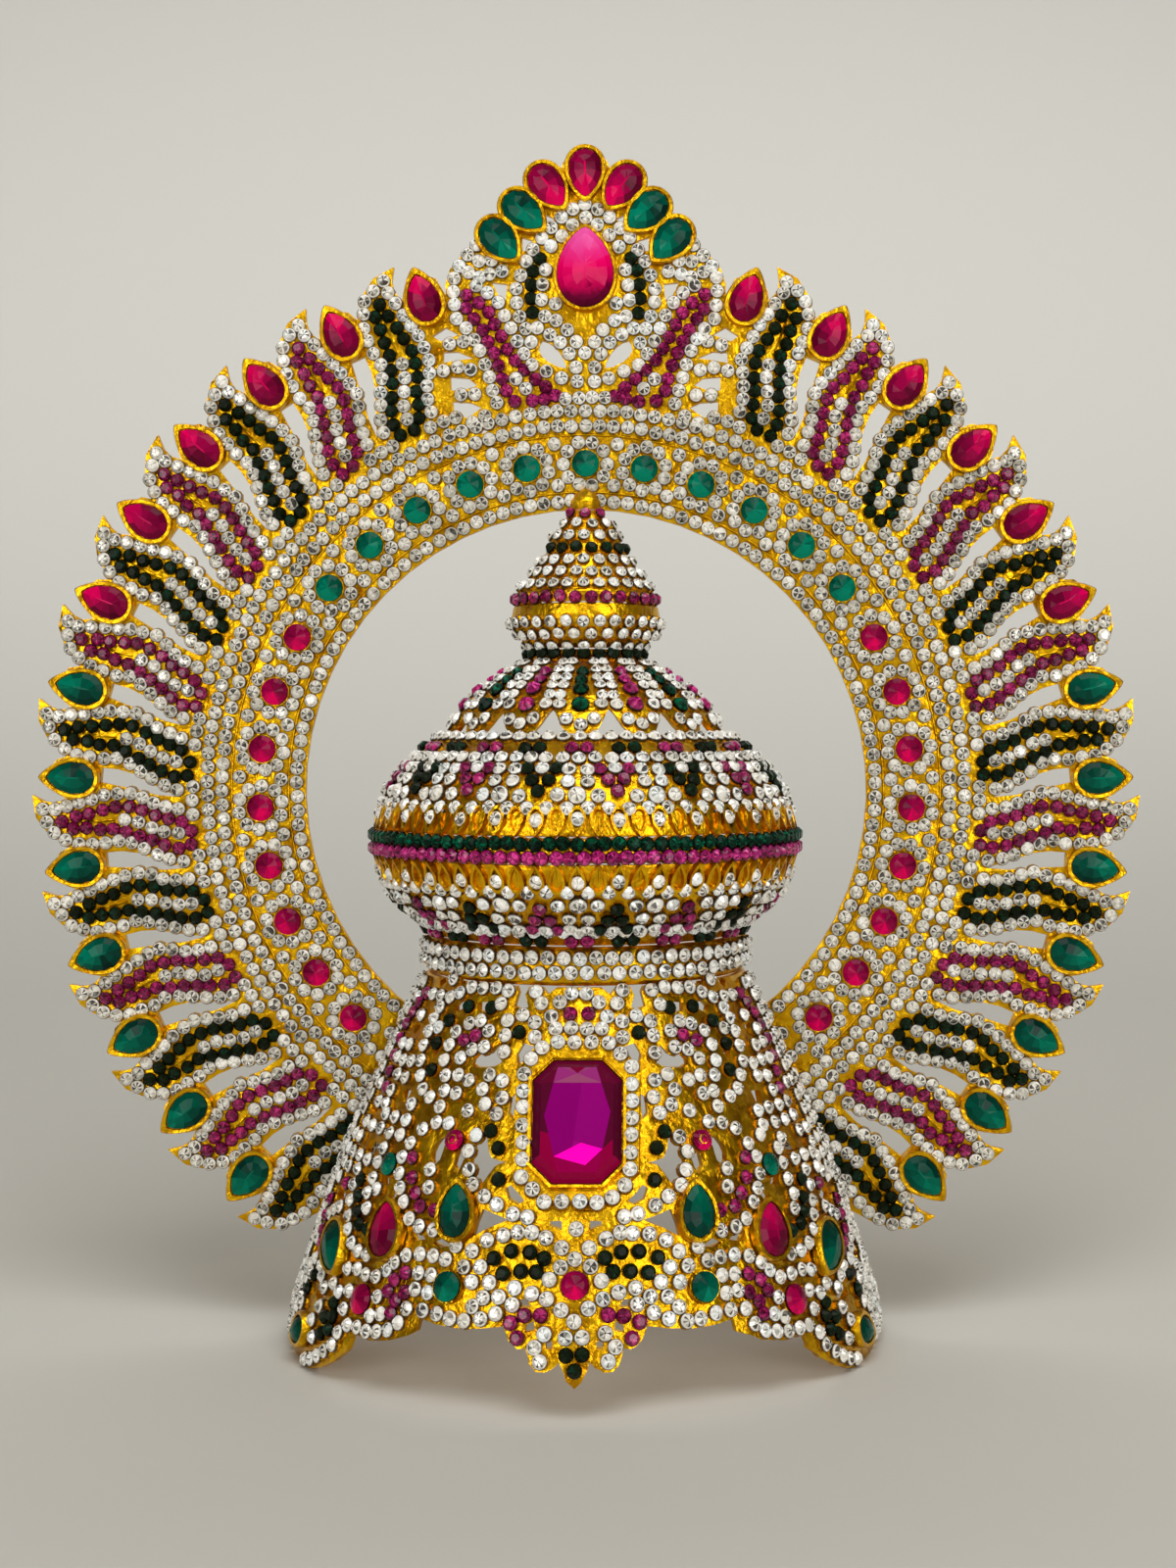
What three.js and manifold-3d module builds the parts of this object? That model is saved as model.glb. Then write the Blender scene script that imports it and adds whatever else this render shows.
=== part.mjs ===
// Deity crown. A half-round shell (base, neck, bulb, petal dome, finial) stands in front of a flat
// horseshoe halo with curling flames and a crest. The shell is open at the back.
// Millimetres, +Z up, the front looks towards -Y.
// A "turn" is an angle in degrees round the shell's upright axis, from the front centre, right
// positive. A "ring" angle is in degrees round the halo's centre, from its top, right positive.
import * as THREE from 'three';
import { mergeVertices } from 'three/addons/utils/BufferGeometryUtils.js';
import Module from 'manifold-3d';

const wasm = await Module();
wasm.setup();

// ---------------------------------------------------------------- driving dimensions
const clearance = 0.3;        // gap between neighbouring pieces
const wall = 1.4;             // wall of every shell casting
const plate = 1.6;            // thickness of the halo
const shellSteps = 40;        // facets in a full turn of the base, neck, bulb and dome
const finialSteps = 24;       // facets in a full turn of the finial

const halo = {
  centreZ: 121.2, innerRadius: 63.3,
  roundPitchRadius: 73.4, roundPitch: 10.33, roundsPerSide: 13, roundDiameter: 6,
  flames: 13, firstTip: 20.1, tipPitch: 10.05,
  dropRadius: 115.8, dropLead: -1.9, dropWidth: 7.3, dropLength: 10.6,
};

// outer metal radius of each casting at rising heights
const baseProfile = [[0, 65.6], [8.9, 64.3], [31.3, 56.8], [44.3, 52.3], [53.9, 47.8], [81.2, 35.6]];
const neckProfile = [[81.5, 35.2], [82.6, 35.9], [87.8, 35.9], [89.6, 34.9]];
const bulbLowerProfile = [[89.9, 34.9], [93, 36.6], [97.4, 42.2], [100.6, 44.3], [104.1, 45.6], [107.5, 46.5]];
const bulbBandProfile = [[107.8, 46.4], [108.4, 47.1], [112.3, 47.1], [112.9, 46.4]];
const bulbUpperProfile = [[113.2, 46.5], [117.4, 45.5], [122.7, 43.4], [127.4, 39.6], [132.2, 34.6],
  [133.8, 31.2]];
const domeProfile = [[134.1, 30.9], [138.2, 28.7], [143.4, 23.9], [147.6, 17.9], [150.4, 12]];
const collarProfile = [[150.7, 12.6], [151.65, 13.3], [152.6, 12.6]];
const finialBulbProfile = [[152.9, 12.6], [155.8, 15.3], [159.3, 16.9], [162.6, 16.3]];
const finialConeProfile = [[162.9, 15.6], [165.2, 15.6], [168.4, 12.9], [173, 9.9], [179.2, 6.4], [183.9, 3.7]];
const finialTipProfile = [[184.2, 3.4], [186, 3.8], [187.8, 2.5], [189.2, 0.7]];

// lower edge of the base, right half: pendant, its side lobes, two scallops and the foot
const lowerEdge = [[0, 6.8], [1.4, 8.2], [2.7, 11.6], [3.6, 10.6], [5.2, 9.7], [6.8, 9.8], [8, 11.2],
  [8.8, 13.9], [10.4, 13.7], [12.2, 15.1], [13.4, 17.6], [17, 17], [22, 16.4], [27, 16.6], [30.8, 17.2],
  [31.1, 14.6], [36, 12.3], [41, 11.1], [46.2, 11.3], [47.3, 10.2], [47.6, 8], [50.3, 5.6], [54.7, 2.7],
  [59, 0.8], [62, 0], [95, 0]];

// gaps of the base's pierced scrolls, right half, corners as turn and height
const baseGaps = {
  besideCrownMotif: [[6, 82], [14, 82], [10.4, 79.8]],
  aboveStem: [[17, 81.8], [22.9, 81.8], [21, 80], [21.6, 77.2], [16.6, 77.2], [18.2, 79.6]],
  underBand: [[26, 82.4], [35, 82.2], [34, 81.2], [27, 81.3]],
  behindBand: [[38.5, 82.3], [47, 82], [45.5, 80.8], [40, 81]],
  scrollCrown: [[28, 76], [31, 77.8], [35.5, 77.4], [34.8, 75.8], [31, 75.6]],
  scrollShoulder: [[40.3, 76.4], [43, 78.2], [45.8, 76], [44, 74.6]],
  frameCorner: [[12.9, 69.6], [16.5, 70.2], [18.1, 67.8], [17, 65.6], [15, 67.4]],
  scrollNeck: [[22.3, 66.2], [24.2, 69.6], [26.5, 67.6], [31.4, 67.2], [32, 65.3], [27, 65]],
  scrollBack: [[45.6, 66.8], [47, 69], [49, 67], [47.6, 64.8]],
  frameSide: [[16.3, 60.6], [17.9, 59.6], [17.8, 56.6], [16.3, 55.5]],
  smallScroll: [[22.8, 52.7], [25.3, 50.2], [25, 45.6], [22.6, 42.6], [20.9, 44], [18.8, 46.9], [16.2, 47.6],
    [20.2, 48.2], [21.8, 50.6]],
  crescent: [[32.4, 51.4], [35.6, 50.4], [36.9, 47.6], [35.6, 45.6], [33.8, 46.8], [33.6, 49.4]],
  leafSlot: [[27, 48], [29.6, 48.9], [29.8, 46], [28, 44.5]],
  frameFoot: [[11.2, 40.7], [14.6, 43.5], [15.8, 42.8], [14.8, 40.8], [12.6, 39.9]],
  underFoot: [[14.2, 37], [20.4, 38.7], [21.4, 35.8], [21.8, 33.4], [18.6, 35.2]],
  lowerSlit: [[26.4, 31.2], [28.8, 32.4], [31.2, 31.2], [28.8, 30.7]],
  lowerLeaf: [[32.9, 31.6], [36.7, 34.2], [37.3, 32.4], [35.6, 30.9]],
  centreLeaf: [[2.8, 35.5], [3, 37.2], [5.3, 37.1], [5.5, 36.3]],
  aboveRuby: [[43.4, 39.6], [46, 40], [46.8, 37.8], [45, 37.2]],
  besideRuby: [[47.8, 40.2], [49.8, 42.4], [51.8, 41.8], [50.4, 39.8]],
  pendantUpper: [[8.3, 21.4], [9.2, 22.8], [11.4, 22.6], [11.2, 21.2]],
  pendantOuter: [[7.3, 17.2], [7.6, 18.8], [8.9, 18.2], [9.2, 16.7]],
  pendantInner: [[3.9, 14], [4.1, 15.4], [5.3, 15.2], [5.1, 13.9]],
  flankTop: [[55, 80.6], [57.4, 81.6], [59.6, 80.4], [57.6, 79.2]],
  flankUpper: [[60.5, 70.6], [64, 72.8], [66, 70.4], [63, 68.8]],
  flankMiddle: [[52, 58.4], [56.4, 58], [55.2, 55.6], [52.4, 56.2]],
  flankScroll: [[66.5, 53.4], [72, 54.6], [73, 51.6], [68, 50.6]],
  flankLower: [[57, 46.6], [62.4, 47.6], [63.6, 44.6], [58.6, 43.8]],
  flankLeaf: [[67, 34.6], [72.6, 36.4], [74.6, 33.2], [69, 31.6]],
  footScroll: [[60.4, 15.6], [65.4, 17.2], [66.4, 14.2], [62, 13.2]],
  footLeaf: [[74, 20.6], [80, 21.8], [81.6, 18.4], [76, 17.6]],
};

// drop stones of the base, right half: spin turns the point from straight up towards the front
const baseDrops = [
  { turn: 25.8, z: 37.7, width: 7, length: 10.6, spin: -5, material: 'green' },
  { turn: 43.3, z: 31.9, width: 8, length: 11, spin: -10, material: 'ruby' },
  { turn: 60.7, z: 25, width: 8.4, length: 11.4, spin: 135, material: 'green' },
];
const lobeDrop = { turn: 66.2, z: 6.6, width: 5.6, length: 8.4, spin: -115 };
// small round stones joined to the base
const baseRounds = [
  { turn: 0, z: 25.4, diameter: 5.6 },
  { turn: 25.2, z: 23.7, diameter: 6 }, { turn: -25.2, z: 23.7, diameter: 6 },
  { turn: 45.5, z: 18, diameter: 6.2 }, { turn: -45.5, z: 18, diameter: 6.2 },
  { turn: 48.1, z: 44, diameter: 4.8 }, { turn: -48.1, z: 44, diameter: 4.8 },
  { turn: 30.2, z: 50.6, diameter: 4.4 }, { turn: -30.2, z: 50.6, diameter: 4.4 },
];
const octagon = { z: 55.3, width: 18, length: 25, corner: 4.2, frameBorder: 3.8, height: 4 };

// crest, right half, as x and height above the ground
const crestEdge = [[0, 265.2], [3, 264.4], [5, 261.8], [5.5, 260.2], [8.3, 261.4], [11, 260.5], [12.9, 258],
  [13, 255.4], [15.7, 255.3], [18.4, 254.1], [19.6, 251.3], [19.1, 248.7], [21.9, 248], [24.1, 245.2],
  [24.7, 242.7], [27.9, 241], [30.4, 238], [31.4, 234.8], [31.4, 232.4]];
const crestGaps = {
  underSecondDrop: [[6.9, 249.4], [9.2, 250.4], [9.7, 247.6], [8.6, 246.8]],
  underThirdDrop: [[11.7, 244.5], [14.2, 245.2], [14.1, 242.1], [12.9, 242.2]],
  underFourthDrop: [[17.5, 239], [19.5, 239.3], [18.3, 237.3]],
  besideArch: [[17.5, 234.8], [21, 235.2], [19.5, 232.2], [17.9, 231.2]],
  eye: [[9.7, 222.2], [10.5, 219.9], [8.4, 217.4], [4.4, 216], [5.1, 218.4], [7, 220.9]],
  underDrop: [[28.4, 223.5], [31.4, 225.1], [34.3, 223.2], [32.6, 222]],
  scrollUpper: [[24.9, 218.2], [28.5, 219.7], [31.8, 219.6], [31.9, 217.2], [28.5, 217.8]],
  scrollMiddle: [[24.3, 212.2], [26.3, 213.8], [30.3, 214.1], [30.2, 211], [27, 211.2]],
  scrollLower: [[23.3, 207.2], [25.7, 208.3], [29.8, 208.6], [29.6, 205.2], [26.4, 205]],
  ringSlit: [[19.4, 203.1], [22, 202.9], [25.8, 201.5], [23, 201.4]],
};
const crestDrops = [
  { x: 0, z: 259.1, lean: 0, material: 'ruby' },
  { x: 8.3, z: 256.1, lean: 38, material: 'ruby' }, { x: -8.3, z: 256.1, lean: -38, material: 'ruby' },
  { x: 13.8, z: 250.5, lean: 50, material: 'green' }, { x: -13.8, z: 250.5, lean: -50, material: 'green' },
  { x: 19.1, z: 244.2, lean: 42, material: 'green' }, { x: -19.1, z: 244.2, lean: -42, material: 'green' },
];
const crestStone = { z: 238, width: 12.6, length: 17.6 };

// one flame with the drop setting before it, as degrees from its tip and radius
const flameEdge = [[-3.8, 119.6], [-1.9, 122.5], [-0.1, 119.3], [0.4, 117.4], [0.9, 119.8], [0.7, 122.2],
  [0, 125], [2.4, 124.3], [4, 122], [5.8, 117.3]];
// the slit under each drop setting, as degrees from the tip of the flame before it and radius
const flameSlit = [[6.9, 109.3], [7, 105.5], [7.5, 102], [8.8, 97.6], [10.5, 92], [10.2, 97], [9.4, 102], [9, 106],
  [8.6, 109.5]];
// the horseshoe's end below the last flame, hidden behind the base
const haloEnd = [[148.4, 110.5], [150, 101], [151.5, 91], [143.4, halo.innerRadius]];

// ---------------------------------------------------------------- materials
const materials = {
  gold: new THREE.MeshStandardMaterial({ color: 0xf0ac0a, metalness: 1, roughness: 0.32 }),
  ruby: new THREE.MeshStandardMaterial({ color: 0xc00a58, metalness: 0, roughness: 0.06 }),
  green: new THREE.MeshStandardMaterial({ color: 0x05603c, metalness: 0, roughness: 0.06 }),
  pink: new THREE.MeshStandardMaterial({ color: 0xd8186e, metalness: 0, roughness: 0.05 }),
  purple: new THREE.MeshStandardMaterial({ color: 0x96084e, metalness: 0, roughness: 0.04 }),
};

// ---------------------------------------------------------------- helpers
const radians = THREE.MathUtils.degToRad;
const mirrored = (points) => points.map(([a, b]) => [-a, b]).reverse();

function solidOf(geometry) {
  const bare = geometry.index ? geometry.toNonIndexed() : geometry.clone();
  bare.deleteAttribute('normal');
  bare.deleteAttribute('uv');
  const merged = mergeVertices(bare, 1e-4);
  const whole = [];
  const index = merged.index.array;
  for (let i = 0; i < index.length; i += 3) {
    const [a, b, c] = [index[i], index[i + 1], index[i + 2]];
    if (a !== b && b !== c && c !== a) whole.push(a, b, c);
  }
  return new wasm.Manifold(new wasm.Mesh({
    numProp: 3,
    vertProperties: merged.attributes.position.array,
    triVerts: new Uint32Array(whole),
  }));
}

function geometryOf(solid) {
  const mesh = solid.getMesh();
  const geometry = new THREE.BufferGeometry();
  geometry.setAttribute('position', new THREE.BufferAttribute(mesh.vertProperties, 3));
  geometry.setIndex(new THREE.BufferAttribute(mesh.triVerts, 1));
  return geometry;
}

function meshOf(name, solid, material) {
  const mesh = new THREE.Mesh(geometryOf(solid), materials[material]);
  mesh.name = name;
  return mesh;
}

// an indexed geometry from points and triangles, as a solid
function solidFrom(points, triangles) {
  const geometry = new THREE.BufferGeometry();
  geometry.setAttribute('position', new THREE.Float32BufferAttribute(points.flat(), 3));
  geometry.setIndex(triangles.flat());
  return solidOf(geometry);
}

// radius of a profile at a height, and the slope of the surface there
function radiusAt(profile, z) {
  const last = profile.length - 1;
  if (z <= profile[0][0]) return profile[0][1];
  for (let i = 0; i < last; i += 1) {
    const [z0, r0] = profile[i];
    const [z1, r1] = profile[i + 1];
    if (z <= z1) return r0 + (r1 - r0) * (z - z0) / (z1 - z0);
  }
  return profile[last][1];
}

// the same profile moved inwards by a distance, its two ends kept level
function insetProfile(profile, distance) {
  return profile.map(([z, r], i) => {
    const [zBefore, rBefore] = profile[Math.max(i - 1, 0)];
    const [zAfter, rAfter] = profile[Math.min(i + 1, profile.length - 1)];
    const length = Math.hypot(zAfter - zBefore, rAfter - rBefore);
    const atEnd = i === 0 || i === profile.length - 1;
    const inward = distance * (zAfter - zBefore) / length;
    const downward = distance * (rAfter - rBefore) / length;
    if (atEnd) return [z, r - distance * length / Math.max(zAfter - zBefore, distance)];
    return [z + downward, r - inward];
  });
}

// everything in front of the plane where the shell meets the halo
const frontHalf = solidOf(new THREE.BoxGeometry(400, 200, 600).translate(0, -100 - clearance, 150));

// a half-round shell casting, open at the back
function halfShell(profile, steps) {
  const outer = profile.map(([z, r]) => new THREE.Vector2(r, z));
  const inner = insetProfile(profile, wall).map(([z, r]) => new THREE.Vector2(Math.max(r, 0), z));
  const loop = [...outer, ...inner.reverse(), outer[0].clone()];
  const geometry = new THREE.LatheGeometry(loop, steps);
  geometry.rotateX(Math.PI / 2);
  return solidOf(geometry).intersect(frontHalf);
}

// a half-round solid casting that runs to the axis
function halfSolid(profile, steps) {
  const points = profile.map(([z, r]) => new THREE.Vector2(r, z));
  const [bottom, top] = [profile[0][0], profile[profile.length - 1][0]];
  const loop = [new THREE.Vector2(0, bottom), ...points, new THREE.Vector2(0, top)];
  const geometry = new THREE.LatheGeometry(loop, steps);
  geometry.rotateX(Math.PI / 2);
  return solidOf(geometry).intersect(frontHalf);
}

// an outline as points that run anticlockwise
function toPath(outline) {
  const path = outline.map(([x, y]) => new THREE.Vector2(x, y));
  return THREE.ShapeUtils.isClockWise(path) ? path.reverse() : path;
}

// a closed outline of six corners or more, rounded through its corners
function rounded(corners) {
  const pieces = 2;
  if (corners.length < 6) return corners;
  const curve = new THREE.CatmullRomCurve3(corners.map(([a, b]) => new THREE.Vector3(a, b, 0)), true, 'centripetal');
  const points = curve.getPoints(corners.length * pieces);
  points.pop();
  return points.map((p) => [p.x, p.y]);
}

// a prism through a round wall: its outline is in turn and height, its depth runs along the radius
function wrappedPrism(outline, profile, depth) {
  const flat = toPath(outline);
  const ring = (reach) => flat.map(({ x: turn, y: z }) => {
    const r = radiusAt(profile, z) + reach;
    return [r * Math.sin(radians(turn)), -r * Math.cos(radians(turn)), z];
  });
  const count = flat.length;
  const triangles = [];
  for (const [a, b, c] of THREE.ShapeUtils.triangulateShape(flat, [])) {
    triangles.push([a, b, c], [a + count, c + count, b + count]);
  }
  for (let i = 0; i < count; i += 1) {
    const j = (i + 1) % count;
    triangles.push([i, i + count, j + count], [i, j + count, j]);
  }
  return solidFrom([...ring(depth), ...ring(-depth)], triangles);
}

// everything under an edge that is given as turn and height, round the whole half shell
function underEdge(edge, innerRadius, outerRadius, floorZ) {
  const points = [];
  for (const [turn, z] of edge) {
    for (const [r, height] of [[outerRadius, z], [outerRadius, floorZ], [innerRadius, floorZ], [innerRadius, z]]) {
      points.push([r * Math.sin(radians(turn)), -r * Math.cos(radians(turn)), height]);
    }
  }
  const triangles = [];
  for (let i = 0; i < edge.length - 1; i += 1) {
    for (let side = 0; side < 4; side += 1) {
      const next = (side + 1) % 4;
      const [a, b, c, d] = [i * 4 + side, i * 4 + next, i * 4 + 4 + next, i * 4 + 4 + side];
      triangles.push([a, b, c], [a, c, d]);
    }
  }
  const end = (edge.length - 1) * 4;
  triangles.push([0, 3, 2], [0, 2, 1], [end, end + 1, end + 2], [end, end + 2, end + 3]);
  return solidFrom(points, triangles);
}

// a drop outline with its point up, its round end down
function dropOutline(width, length, corners = 8) {
  const taper = 0.45;       // 0 is an oval, 1 a slim drop
  const widest = 0.8735;    // largest value of the curve below at this taper
  const outline = [];
  for (let i = 0; i < corners; i += 1) {
    const a = (i / corners) * Math.PI * 2;
    const across = Math.sin(a) * Math.sin(a / 2) ** taper / widest;
    outline.push([-width / 2 * across, length / 2 * Math.cos(a)]);
  }
  return outline;
}

// an octagon with cut corners
function octagonOutline(width, length, corner) {
  const [w, l] = [width / 2, length / 2];
  return [[w, l - corner], [w - corner, l], [corner - w, l], [-w, l - corner],
    [-w, corner - l], [corner - w, -l], [w - corner, -l], [w, corner - l]];
}

function regularOutline(diameter, sides) {
  const outline = [];
  for (let i = 0; i < sides; i += 1) {
    const a = (i / sides) * Math.PI * 2;
    outline.push([diameter / 2 * Math.cos(a), diameter / 2 * Math.sin(a)]);
  }
  return outline;
}

// a solid of stacked outlines, each as height and scale, facing +Z
function stacked(outline, levels) {
  const count = outline.length;
  const points = levels.flatMap(([z, scale]) => outline.map(([x, y]) => [x * scale, y * scale, z]));
  const triangles = [];
  for (let level = 0; level < levels.length - 1; level += 1) {
    for (let i = 0; i < count; i += 1) {
      const j = (i + 1) % count;
      const [a, b] = [level * count + i, level * count + j];
      triangles.push([a, b, b + count], [a, b + count, a + count]);
    }
  }
  const top = (levels.length - 1) * count;
  for (let i = 1; i < count - 1; i += 1) {
    triangles.push([0, i + 1, i], [top, top + i, top + i + 1]);
  }
  return solidFrom(points, triangles);
}

// the outline grown all round by a margin
function grown(outline, margin) {
  const xs = outline.map(([x]) => x);
  const ys = outline.map(([, y]) => y);
  const width = Math.max(...xs) - Math.min(...xs);
  const length = Math.max(...ys) - Math.min(...ys);
  return outline.map(([x, y]) => [x * (1 + 2 * margin / width), y * (1 + 2 * margin / length)]);
}

// a foil-backed stone: flat back, sloping crown and small table
const stoneSolid = (outline, height, table) => stacked(outline, [[0, 1], [height, table]]);
// the crown of a stone that is joined to its setting
const joinedStone = (outline, height, sink) => stacked(outline, [[-sink, 1], [height, 0.5]]);

// the frame of a place on the base: X along the turn, Y up the slope, Z out of the surface
function basePlace(turn, z, spin = 0, lift = 0) {
  const reach = 3;
  const slope = Math.atan2(radiusAt(baseProfile, z - reach) - radiusAt(baseProfile, z + reach), 2 * reach);
  const place = new THREE.Matrix4().makeRotationZ(radians(turn));
  place.multiply(new THREE.Matrix4().makeTranslation(0, -radiusAt(baseProfile, z), z));
  place.multiply(new THREE.Matrix4().makeRotationX(Math.PI / 2 - slope));
  place.multiply(new THREE.Matrix4().makeRotationZ(radians(spin)));
  return place.multiply(new THREE.Matrix4().makeTranslation(0, 0, lift));
}

// the frame of a place on the halo's front: X to the right, Y up, Z towards the front
function haloPlace(x, z, spin = 0, lift = 0) {
  const place = new THREE.Matrix4().makeTranslation(x, -lift, z);
  place.multiply(new THREE.Matrix4().makeRotationX(Math.PI / 2));
  return place.multiply(new THREE.Matrix4().makeRotationZ(radians(spin)));
}

function ringPlace(ring, radius, lift) {
  const [x, z] = onRing([ring, radius]);
  return haloPlace(x, halo.centreZ + z, -ring, lift);
}

const onRing = ([ring, radius]) => [radius * Math.sin(radians(ring)), radius * Math.cos(radians(ring))];

// ---------------------------------------------------------------- halo
const settingHeight = 1;
const haloDropOutline = dropOutline(halo.dropWidth, halo.dropLength);
const crestDropOutline = dropOutline(7.4, 10.6);
const crestStoneOutline = dropOutline(crestStone.width, crestStone.length, 12);
const settingMargin = 0.9;

function haloOutline() {
  const right = crestEdge.map(([x, z]) => [x, z - halo.centreZ]);
  for (let k = 0; k < halo.flames; k += 1) {
    const tip = halo.firstTip + k * halo.tipPitch;
    right.push(...flameEdge.map(([angle, radius]) => onRing([tip + angle, radius])));
  }
  right.push(...haloEnd.map(onRing));
  const innerSteps = 22;
  const innerEnd = haloEnd[haloEnd.length - 1][0];
  for (let i = innerSteps - 1; i >= 0; i -= 1) right.push(onRing([innerEnd * i / innerSteps, halo.innerRadius]));
  const edgeRight = right.slice(0, -1);
  const left = mirrored(edgeRight);
  left.pop();
  return [...right, ...left];
}

function haloGaps() {
  const gaps = Object.values(crestGaps).map((corners) => rounded(corners.map(([x, z]) => [x, z - halo.centreZ])));
  for (let k = 0; k < halo.flames - 1; k += 1) {
    const tip = halo.firstTip + k * halo.tipPitch;
    gaps.push(flameSlit.map(([angle, radius]) => onRing([tip + angle, radius])));
  }
  return [...gaps, ...gaps.map(mirrored)];
}

function makeHaloFrame() {
  const shape = new THREE.Shape(toPath(haloOutline()));
  shape.holes = haloGaps().map((gap) => new THREE.Path(toPath(gap)));
  const sheet = new THREE.ExtrudeGeometry(shape, { depth: plate, bevelEnabled: false });
  sheet.rotateX(Math.PI / 2).translate(0, plate, halo.centreZ);
  let frame = solidOf(sheet);
  const sink = 0.4;
  const settings = [];
  const seat = (outline, place) => settings.push(
    stacked(grown(outline, settingMargin), [[-sink, 1], [settingHeight, 0.94]]).transform(place.elements));
  for (const side of [1, -1]) {
    for (let k = 0; k < halo.flames; k += 1) {
      const ring = side * (halo.firstTip + k * halo.tipPitch + halo.dropLead);
      seat(haloDropOutline, ringPlace(ring, halo.dropRadius, 0));
    }
  }
  for (const { x, z, lean } of crestDrops) seat(crestDropOutline, haloPlace(x, z, 180 - lean));
  seat(crestStoneOutline, haloPlace(0, crestStone.z));
  for (let i = -halo.roundsPerSide; i <= halo.roundsPerSide; i += 1) {
    const stone = joinedStone(regularOutline(halo.roundDiameter, 6), 2, sink);
    settings.push(stone.transform(ringPlace(i * halo.roundPitch, halo.roundPitchRadius, 0).elements));
  }
  for (const setting of settings) frame = frame.add(setting);
  return meshOf('halo_frame', frame, 'gold');
}

function makeHaloStones() {
  const lift = settingHeight + clearance;
  const meshes = [];
  for (const [name, side] of [['left', -1], ['right', 1]]) {
    for (let k = 0; k < halo.flames; k += 1) {
      const ring = side * (halo.firstTip + k * halo.tipPitch + halo.dropLead);
      const stone = stoneSolid(haloDropOutline, 2.8, 0.34).transform(ringPlace(ring, halo.dropRadius, lift).elements);
      meshes.push(meshOf(`halo_drop_${name}_${k + 1}`, stone, k < 6 ? 'ruby' : 'green'));
    }
  }
  crestDrops.forEach(({ x, z, lean, material }, i) => {
    const stone = stoneSolid(crestDropOutline, 3, 0.34).transform(haloPlace(x, z, 180 - lean, lift).elements);
    meshes.push(meshOf(`crest_drop_${i + 1}`, stone, material));
  });
  const large = stoneSolid(crestStoneOutline, 4.6, 0.3).transform(haloPlace(0, crestStone.z, 0, lift).elements);
  meshes.push(meshOf('crest_stone', large, 'pink'));
  return meshes;
}

// ---------------------------------------------------------------- base
const octagonStoneOutline = octagonOutline(octagon.width, octagon.length, octagon.corner);
const octagonLift = -0.6;
const pocketDepth = 0.9;

function makeBaseShell() {
  let shell = halfShell(baseProfile, shellSteps);
  const edge = [...mirrored(lowerEdge.slice(1)), ...lowerEdge];
  const below = 12;
  shell = shell.subtract(underEdge(edge, 45, 75, -below));
  for (const corners of Object.values(baseGaps)) {
    for (const outline of [corners, mirrored(corners)]) {
      shell = shell.subtract(wrappedPrism(rounded(outline), baseProfile, 4));
    }
  }
  const place = basePlace(0, octagon.z).elements;
  const border = octagon.frameBorder;
  const frameOutline = octagonOutline(octagon.width + 2 * border, octagon.length + 2 * border, octagon.corner + border / 2);
  shell = shell.add(stacked(frameOutline, [[-2.6, 1], [1.2, 0.98]]).transform(place));
  const pocket = stacked(grown(octagonStoneOutline, clearance), [[-pocketDepth, 1], [3, 1]]);
  shell = shell.subtract(pocket.transform(place));
  for (const side of [1, -1]) {
    for (const drop of baseDrops) {
      const seat = basePlace(side * drop.turn, drop.z, side * drop.spin).elements;
      const outline = grown(dropOutline(drop.width, drop.length), settingMargin);
      shell = shell.add(stacked(outline, [[-1.2, 1], [settingHeight, 0.94]]).transform(seat));
    }
    const lobe = joinedStone(dropOutline(lobeDrop.width, lobeDrop.length), 2.2, 1);
    shell = shell.add(lobe.transform(basePlace(side * lobeDrop.turn, lobeDrop.z, side * lobeDrop.spin).elements));
  }
  for (const { turn, z, diameter } of baseRounds) {
    const stone = joinedStone(regularOutline(diameter, 6), 2, 1);
    shell = shell.add(stone.transform(basePlace(turn, z).elements));
  }
  return meshOf('base_shell', shell, 'gold');
}

function makeBaseStones() {
  const meshes = [];
  const place = basePlace(0, octagon.z, 0, octagonLift).elements;
  const step = stacked(octagonStoneOutline, [[0, 0.9], [1.6, 1], [octagon.height, 0.66]]);
  meshes.push(meshOf('octagon_stone', step.transform(place), 'purple'));
  for (const [name, side] of [['left', -1], ['right', 1]]) {
    baseDrops.forEach((drop, i) => {
      const seat = basePlace(side * drop.turn, drop.z, side * drop.spin, settingHeight + clearance).elements;
      const stone = stoneSolid(dropOutline(drop.width, drop.length), 3, 0.3).transform(seat);
      meshes.push(meshOf(`base_drop_${name}_${i + 1}`, stone, drop.material));
    });
  }
  return meshes;
}

// ---------------------------------------------------------------- dome and finial
const petals = { count: 7, pitch: 25 };
// the gap between two petal tips, right half, as turn from its middle and height
const petalGap = [[0, 139.5], [1.7, 138.4], [3.2, 137], [4.9, 135.5], [7.4, 134], [7.8, 133]];

function makePetalDome() {
  let dome = halfShell(domeProfile, shellSteps);
  for (let i = 0; i < petals.count + 1; i += 1) {
    const turn = (i - petals.count / 2) * petals.pitch;
    const gap = [...mirrored(petalGap.slice(1)), ...petalGap].map(([reach, z]) => [turn + reach, z]);
    dome = dome.subtract(wrappedPrism(gap, domeProfile, 4));
  }
  return meshOf('petal_dome', dome, 'gold');
}

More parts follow.
